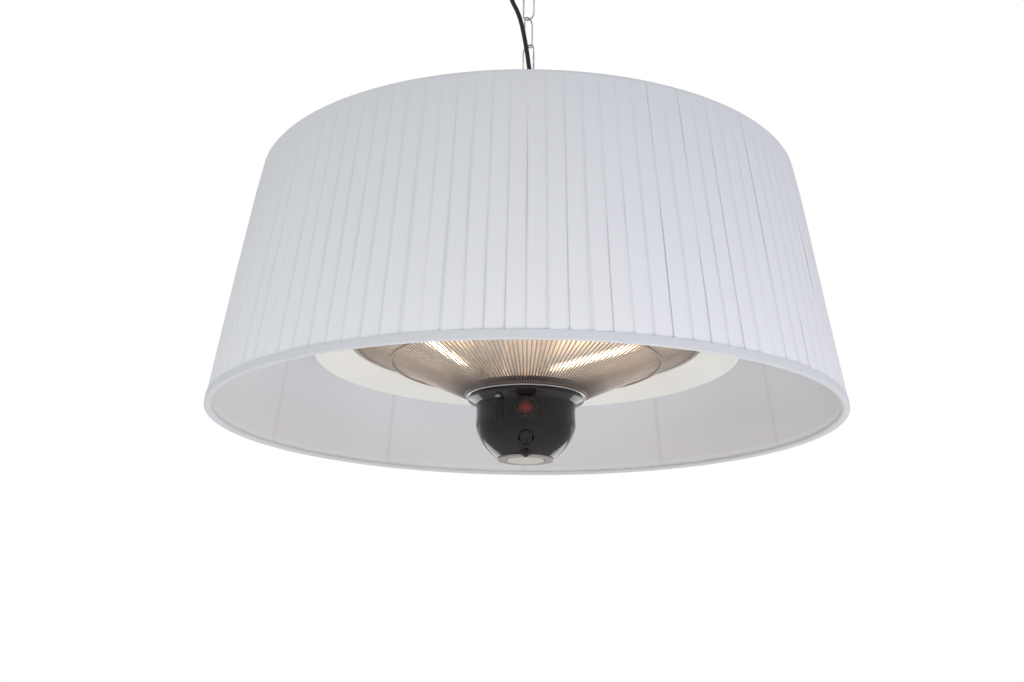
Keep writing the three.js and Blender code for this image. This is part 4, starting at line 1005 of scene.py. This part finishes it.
def make_switch_housing():
    """A barrel in the pad, with the flat bezel round its mouth."""
    barrel, mouth, back, floor = 10.6, 9.7, -16.0, -9.0
    corners = [(0, back), (barrel, back), (barrel, gap), (switch_flange, gap), (switch_flange, switch_face),
               (mouth, switch_face), (mouth, floor), (0, floor)]
    dressed("switch_housing", placed(lathed(corners, 0.6, 5, 72, solid=True), switch_seat))


def make_rocker():
    """A round rocker on its pin, tipped with its upper half in: its face rises both ways from a crease."""
    radius, crease, face_slope, softness, edge_drop, back = 8.9, 1.6, 0.18, 0.6, 1.4, -3.2
    pin_radius, pin_half = 1.2, 9.3
    share = np.array([0, 0.25, 0.5, 0.75, 0.93, 0.985, 1.0, 1.0, 0.9, 0.0])[:, None]
    drop = np.array([0, 0, 0, 0, 0, 0.12, 0.5, 1, 1, 1])[:, None]
    angle = np.linspace(0, 2 * np.pi, 64, endpoint=False)
    x, y = radius * share * np.cos(angle), radius * share * np.sin(angle)
    face = crease + np.sqrt(y ** 2 + softness) * face_slope
    z = np.where(drop < 1, face - drop * edge_drop, back)
    rocker = np.stack([x, y, z], axis=-1).reshape(-1, 3) * mm, grid_faces(len(share), 64, False, True)
    pin = lying(section(0, pin_radius, -pin_half, pin_half), 16, closed=False)
    dressed("power_rocker", placed(joined(rocker, pin), switch_seat @ tipped(-rocker_tilt)))


def make_boot():
    """The clear soft dome over the rocker, with a flange on the bezel."""
    sheet, seat, dome = 0.8, switch_face + gap, switch_face + gap + 4.2
    outer, inner, outer_flat, inner_flat, outer_side, inner_side = 11.2, 10.4, 9.6, 9.0, 2.9, 2.4
    corners = [(0, dome + sheet), (outer_flat, dome + sheet), (outer, seat + outer_side),
               (outer, seat + sheet), (switch_flange, seat + sheet), (switch_flange, seat),
               (inner, seat), (inner, seat + inner_side), (inner_flat, dome), (0, dome)]
    dressed("switch_boot", placed(lathed(corners, 1.2, 6, 72, solid=True), switch_seat))


def make_button():
    """Oval button with a shallow dish in a raised edge, from shares of its half widths and heights."""
    seat = facing_front(float(hub_reach(button_height)), button_height, button_tilt)
    line = [(0, 0.1), (0.35, 0.15), (0.66, 0.6), (0.8, 1.5), (0.93, 1.6), (1, 0.8), (1, -1.2), (0, -1.2)]
    points, faces = turned(rounded(line, 0.12, 6, closed=False), 72, closed=False)
    dressed("mode_button", placed((points * (button_wide * mm, button_tall * mm, mm), faces), seat))


def make_receiver():
    """A lens with a domed end."""
    radius, dome_base, back = 3.6, 1.0, -6.0
    turn = np.linspace(0, np.pi / 2, 9)
    dome = np.column_stack([radius * np.sin(turn), dome_base + radius * np.cos(turn)])
    lens = turned(np.vstack([dome, [(radius, back), (0, back)]]) * mm, 40, closed=False)
    dressed("receiver_lens", placed(lens, receiver_seat))


def make_hub_end():
    """Pale bezel ring with a barrel up into the hub, and the frosted disc in it."""
    top, face = hub_bottom - gap, hub_bottom - gap - 2
    opening, radius, barrel, barrel_inner, barrel_top, ledge = 20.9, 30.0, 27.2, 25.2, top + 4.8, face + 3.3
    ring = [(opening, face), (radius, face), (radius, top), (barrel, top), (barrel, barrel_top),
            (barrel_inner, barrel_top), (barrel_inner, ledge), (opening, ledge)]
    dressed("bottom_bezel", lathed(ring, [0.4, 1.1, 0.4, 0.3, 0.3, 0.3, 0.3, 0.3], 6, 128, base=rim))
    proud, edge_proud, disc_edge, disc_back, disc_top = 0.6, 0.45, 19.9, 20.1, face + 3
    disc = [(0, face - proud), (disc_edge, face - edge_proud), (disc_back, disc_top), (0, disc_top)]
    dressed("bottom_disc", lathed(disc, 0.6, 5, 96, solid=True, base=rim))


make_hub_shell()
make_hub_screws()
make_switch_housing()
make_rocker()
make_boot()
make_button()
make_receiver()
make_hub_end()


# Shade: its cone, the pleats' outline over one spacing, and the frame under the cloth
shade_bottom, shade_top, shade_height = 335.0, 294.0, 262.5
cloth_thickness = 0.3
pleat_count, pleat_phase = 114, 0.4
pleat_shares = np.array([0, 0.02, 0.06, 0.16, 0.4, 0.65, 0.8, 0.88, 0.925, 0.955, 0.98])
pleat_inset = np.array([0.6, 0.22, 0.05, 0, 0.06, 0.18, 0.3, 0.45, 0.78, 1.1, 1.0])
pleat_shadow = np.array([0.5, 0.2, 0.05, 0, 0, 0.05, 0.15, 0.35, 0.7, 1, 0.9])
shadow_depth = 0.38
strut_turns = 24.5 + np.arange(11) * 360 / 11
arm_turns = (30, 150, 270)
frame_inset, frame_wire, arm_wire = 4.15, 1.25, 2.0
frame_bottom, frame_top = 1.55, 259.0
washer_bottom, washer_radius, washer_height = cover_top + gap, 14.0, 3.0


def shade_radius(height):
    """Radius of the shade's cone at a height."""
    return shade_bottom + (shade_top - shade_bottom) * height / shade_height


def make_sheet(name, spread, turn, height, values):
    """A stretched sheet from radius, angle and height grids, closed round, with its own map in metres."""
    spread, turn, height = (np.concatenate([grid, grid[:, :1] + extra], axis=1)
                            for grid, extra in ((spread, 0), (turn, 2 * np.pi), (height, 0)))
    values = {label: np.concatenate([grid, grid[:, :1]], axis=1) for label, grid in values.items()}
    points = wrapped(spread, turn, height)
    steps_across = np.linalg.norm(np.diff(points, axis=1), axis=2)
    steps_up = np.linalg.norm(np.diff(points, axis=0), axis=2)
    across = np.concatenate([[0], np.cumsum(steps_across.mean(axis=0))])
    up = np.concatenate([[0], np.cumsum(steps_up.mean(axis=1))])
    uv = np.stack(np.broadcast_arrays(across[None, :], up[:, None]), axis=-1)
    piece = dressed(name, (points.reshape(-1, 3), grid_faces(*spread.shape)), 50, uv=uv.reshape(-1, 2),
                    values=values)
    wall = piece.modifiers.new("wall", "SOLIDIFY")
    wall.thickness = cloth_thickness * mm
    wall.offset = -1


def make_fabric():
    """Flat pleats, each leaning in along its run into a narrow rounded groove before the next one.

    Their spacing swells and shrinks slowly round the shade, and strays a little from pleat to pleat as sewn
    ones do. Towards the top they are pressed flat, and the edge rolls over the wire.
    """
    stray = np.random.default_rng(7)
    rows = np.concatenate([[0, 3], np.linspace(10, 238, 24), [243, 248, 252, 255.5, 258.5, 261]])
    up = rows[:, None]
    share = (np.arange(pleat_count)[:, None] + pleat_shares[None]).ravel()
    around = share * 2 * np.pi / pleat_count
    inset, shadow = np.tile(pleat_inset, pleat_count), np.tile(pleat_shadow, pleat_count)
    pressed = np.interp(up, [0, 110, 200, 250, 262], [1, 0.95, 0.6, 0.3, 0.1])
    swell_share, lean_share, drift_share, belly_depth, roll_share = 0.24, 0.045, 0.02, 0.2, 0.1
    swell = pleat_phase - swell_share * np.sin(3 * (around + np.pi / 2))
    lean = np.repeat(stray.normal(0, lean_share, pleat_count), len(pleat_shares))
    wave = np.repeat(stray.uniform(0, 2 * np.pi, pleat_count), len(pleat_shares))
    drift = (swell + lean)[None] + drift_share * np.sin(up / 45 + wave[None])
    turn = (share[None] + drift) * 2 * np.pi / pleat_count
    depth = np.repeat(stray.uniform(0.75, 1.15, pleat_count), len(pleat_shares))
    belly = belly_depth * np.sin(up / 34 + wave[None] * 2)
    drawn_in = np.interp(up, [0, 4, 12, 225, 262], [1.2, 0.5, 0, 0, 1.2])
    spread = shade_radius(up) - drawn_in - inset[None] * depth[None] * pressed + belly * pressed
    roll = np.array([(2.0, 262.4), (3.4, 263.3), (4.8, 263.4), (6.1, 262.4), (6.8, 260), (6.9, 254)])
    spread = np.vstack([spread, shade_top - roll[:, :1] - inset[None] * roll_share])
    height = in_rows(np.concatenate([rows, roll[:, 1]]), len(share))
    turn = np.vstack([turn, np.repeat(turn[-1:], len(roll), axis=0)])
    # Painted light: lighter at the bottom, darker at the top, and painted shade in each pleat's groove.
    tone_and_painted_shade = np.interp(height, [0, shade_height], [0.94, 0.2])
    tone_and_painted_shade[:len(rows)] -= shadow_depth * shadow[None] * pressed
    make_sheet("shade_fabric", spread, turn, height, {"tone_and_painted_shade": tone_and_painted_shade})


def make_liner():
    """A smooth cone inside the frame, raised a little over each strut and slack between them."""
    clearance, ridge_height, ridge_width, slack_depth = 0.5, 0.35, math.radians(0.45), 0.12
    rows = np.linspace(1.5, 251.5, 26)
    turn = np.linspace(0, 2 * np.pi, 528, endpoint=False)
    off = np.abs(np.angle(np.exp(1j * (turn[:, None] - np.radians(strut_turns)[None])))).min(axis=1)
    ridge = np.exp(-((off / ridge_width) ** 2))
    slack = 0.35 * np.sin(turn * 57 + 1.3) * np.sin(turn * 9) + 0.25 * np.sin(turn * 83 + 0.4)
    inset = frame_inset + frame_wire + clearance
    spread = shade_radius(rows)[:, None] - inset - ridge_height * ridge[None] + slack_depth * slack[None]
    # The strut value marks where the lining gets a painted shadow of each strut.
    turns, strut = (np.repeat(row[None], len(rows), axis=0) for row in (turn, ridge))
    make_sheet("shade_liner", spread, turns, in_rows(rows, len(turn)), {"strut": strut})


def make_frame_wires():
    """Two rings, eleven struts, three arms and the fitter washer."""
    def ring_point(height):
        return shade_radius(height) - frame_inset, 0, height

    def wire(path, radius, sides, turn):
        return placed(swept(path * mm + (0, 0, rim), radius * mm, sides, across=(0.0, 1.0, 0.0)), swung(turn))

    parts = [swept(circle(ring_point(height)[0] * mm, 240, level(height)), frame_wire * mm, 10, closed=True)
             for height in (frame_bottom, frame_top)]
    strut = np.linspace(ring_point(frame_bottom), ring_point(frame_top), 4)
    parts += [wire(strut, frame_wire, 10, turn) for turn in strut_turns]
    arm_end = (ring_point(frame_top)[0] - 0.6, 0, frame_top)
    arm = rounded([(11, 0, washer_bottom + 1.5), (15, 0, washer_bottom + 2.2), arm_end], 3, 6, closed=False)
    parts += [wire(arm, arm_wire, 14, turn) for turn in arm_turns]
    washer = section(shank_hole, washer_radius, washer_bottom, washer_bottom + washer_height)
    dressed("shade_frame", joined(*parts, lathed(washer, 0.5, 4, 64, base=rim)), 50)


def make_hem():
    """Tape folded round the lower edge, rippled a little by the pleats under it.

    Its line gives how far each point lies outside the shade's cone, and its height. The girth is in metres.
    """
    corners = [(0.2, -0.5), (0.5, 7.9), (0.0, 7.9), (-0.4, -0.1), (-4.0, -0.2), (-6.4, 1.2), (-6.45, 3.2),
               (-6.85, 3.2), (-6.9, 0.9), (-4.0, -0.6)]
    line = rounded(corners, [1.2, 0.25, 0.25, 1.2, 1.5, 1.2, 0.2, 0.2, 1.5, 1.5], 6)
    tape_girth, pleat_ripple, slow_ripple = 0.04, 0.16, 0.1
    tone_and_painted_shade = np.interp(line[:, 0], [-4.0, -0.5, 0.2], [0.3, 0.2, 0.0])
    turn = np.linspace(0, 2 * np.pi, 912, endpoint=False)
    ripple = pleat_ripple * np.sin(turn * pleat_count + 0.6) + slow_ripple * np.sin(turn * 23 + 1)
    spread = shade_radius(line[:, 1])[:, None] + line[:, :1] + ripple[None]
    points = wrapped(spread, turn, in_rows(line[:, 1], len(turn)))
    arc = np.broadcast_to(turn[None] * shade_bottom * mm, spread.shape)
    girth = np.broadcast_to(np.linspace(0, tape_girth, len(line))[:, None], spread.shape)
    dressed("hem_tape", (points.reshape(-1, 3), grid_faces(*spread.shape, True, True)), 50,
            uv=np.stack([arc, girth], axis=-1).reshape(-1, 2), values={"tone_and_painted_shade": np.repeat(tone_and_painted_shade, len(turn))})


make_fabric()
make_liner()
make_frame_wires()
make_hem()


# Nodes whose own shape is right keep it and take their finish
for name, kept in frame["nodes"].items():
    kept.data.materials.clear()
    kept.data.materials.append(finishes[slot_of[name]])


# Room and light, with places, sizes and distances in metres
surroundings_light = 0.5
floor_half, floor_height, floor_lift = 60.0, -2.3, 0.36
lamp_aim = (0, 0, -0.5)


def make_world():
    """Surroundings that look plain white, and are half as strong as light."""
    world = bpy.data.worlds.new("surroundings")
    bpy.context.scene.world = world
    world.use_nodes = True
    tree = world.node_tree
    tree.nodes.clear()
    white = (1.0, 1.0, 1.0)
    light = node(tree, "ShaderNodeBackground", {"Color": white, "Strength": surroundings_light})
    look = node(tree, "ShaderNodeBackground", {"Color": white, "Strength": 1.0})
    path = node(tree, "ShaderNodeLightPath").outputs
    seen = worked_out(tree, "MAXIMUM", path["Is Camera Ray"], path["Is Glossy Ray"])
    seen = worked_out(tree, "MAXIMUM", seen, path["Is Transmission Ray"])
    mix = node(tree, "ShaderNodeMixShader", {0: seen, 1: light.outputs[0], 2: look.outputs[0]})
    node(tree, "ShaderNodeOutputWorld", {"Surface": mix.outputs[0]})


def make_floor():
    """A pale floor well below the heater: it keeps a soft shadow, and looks lifted towards white."""
    corners = [(x * floor_half, y * floor_half, floor_height)
               for x, y in ((-1, -1), (1, -1), (1, 1), (-1, 1))]
    mesh = bpy.data.meshes.new("floor")
    mesh.from_pydata(corners, [], [(0, 1, 2, 3)])
    floor = bpy.data.objects.new("floor", mesh)
    bpy.context.scene.collection.objects.link(floor)
    finish, tree, shader = blank_finish("floor_paint", {"Roughness": 0.8, "Emission Color": (1.0, 1.0, 1.0)})
    cloud = noise(tree, object_place(tree), 1.5)
    seen = node(tree, "ShaderNodeLightPath").outputs["Is Camera Ray"]
    fill(tree, shader, {"Base Color": mixed(tree, cloud, (0.86, 0.86, 0.86), (0.88, 0.88, 0.88)),
                        "Emission Strength": worked_out(tree, "MULTIPLY", seen, floor_lift)})
    mesh.materials.append(finish)


def make_lamp(name, place, size, power, colour=(1.0, 1.0, 1.0), mirrored=True):
    """A square lamp that faces the heater, and shows in glossy surfaces if mirrored."""
    data = bpy.data.lights.new(name, "AREA")
    data.size = size
    data.energy = power
    data.color = colour
    lamp = bpy.data.objects.new(name, data)
    lamp.visible_glossy = mirrored
    lamp.visible_camera = False
    bpy.context.scene.collection.objects.link(lamp)
    back = np.array(place, float) - np.array(lamp_aim, float)
    back /= np.linalg.norm(back)
    side = np.cross((0, 0, 1), back)
    side /= np.linalg.norm(side)
    pose = np.eye(4)
    pose[:3] = np.column_stack([side, np.cross(back, side), back, place])
    lamp.matrix_world = Matrix(pose.tolist())


bpy.context.scene.view_settings.view_transform = "Standard"
make_world()
make_floor()
make_lamp("left_lamp", (-2.0, -1.6, 0.4), size=1.2, power=19.4, colour=(0.96, 1.0, 1.0))
make_lamp("right_lamp", (2.2, -1.2, 0.5), size=1.2, power=19.3, colour=(0.84, 0.83, 1.0))
make_lamp("low_lamp", (0.25, -1.0, -1.35), size=0.8, power=5.2, colour=(0.98, 1.0, 1.0), mirrored=False)
make_lamp("low_left", (-1.2, -0.9, -1.35), size=0.8, power=2.6, mirrored=False)
make_lamp("low_right", (1.3, -0.8, -1.35), size=0.8, power=3.6, mirrored=False)
make_lamp("back_left", (-0.85, 1.7, -1.35), size=0.9, power=5.5)
make_lamp("back_right", (0.85, 1.7, -1.35), size=0.9, power=5.5)
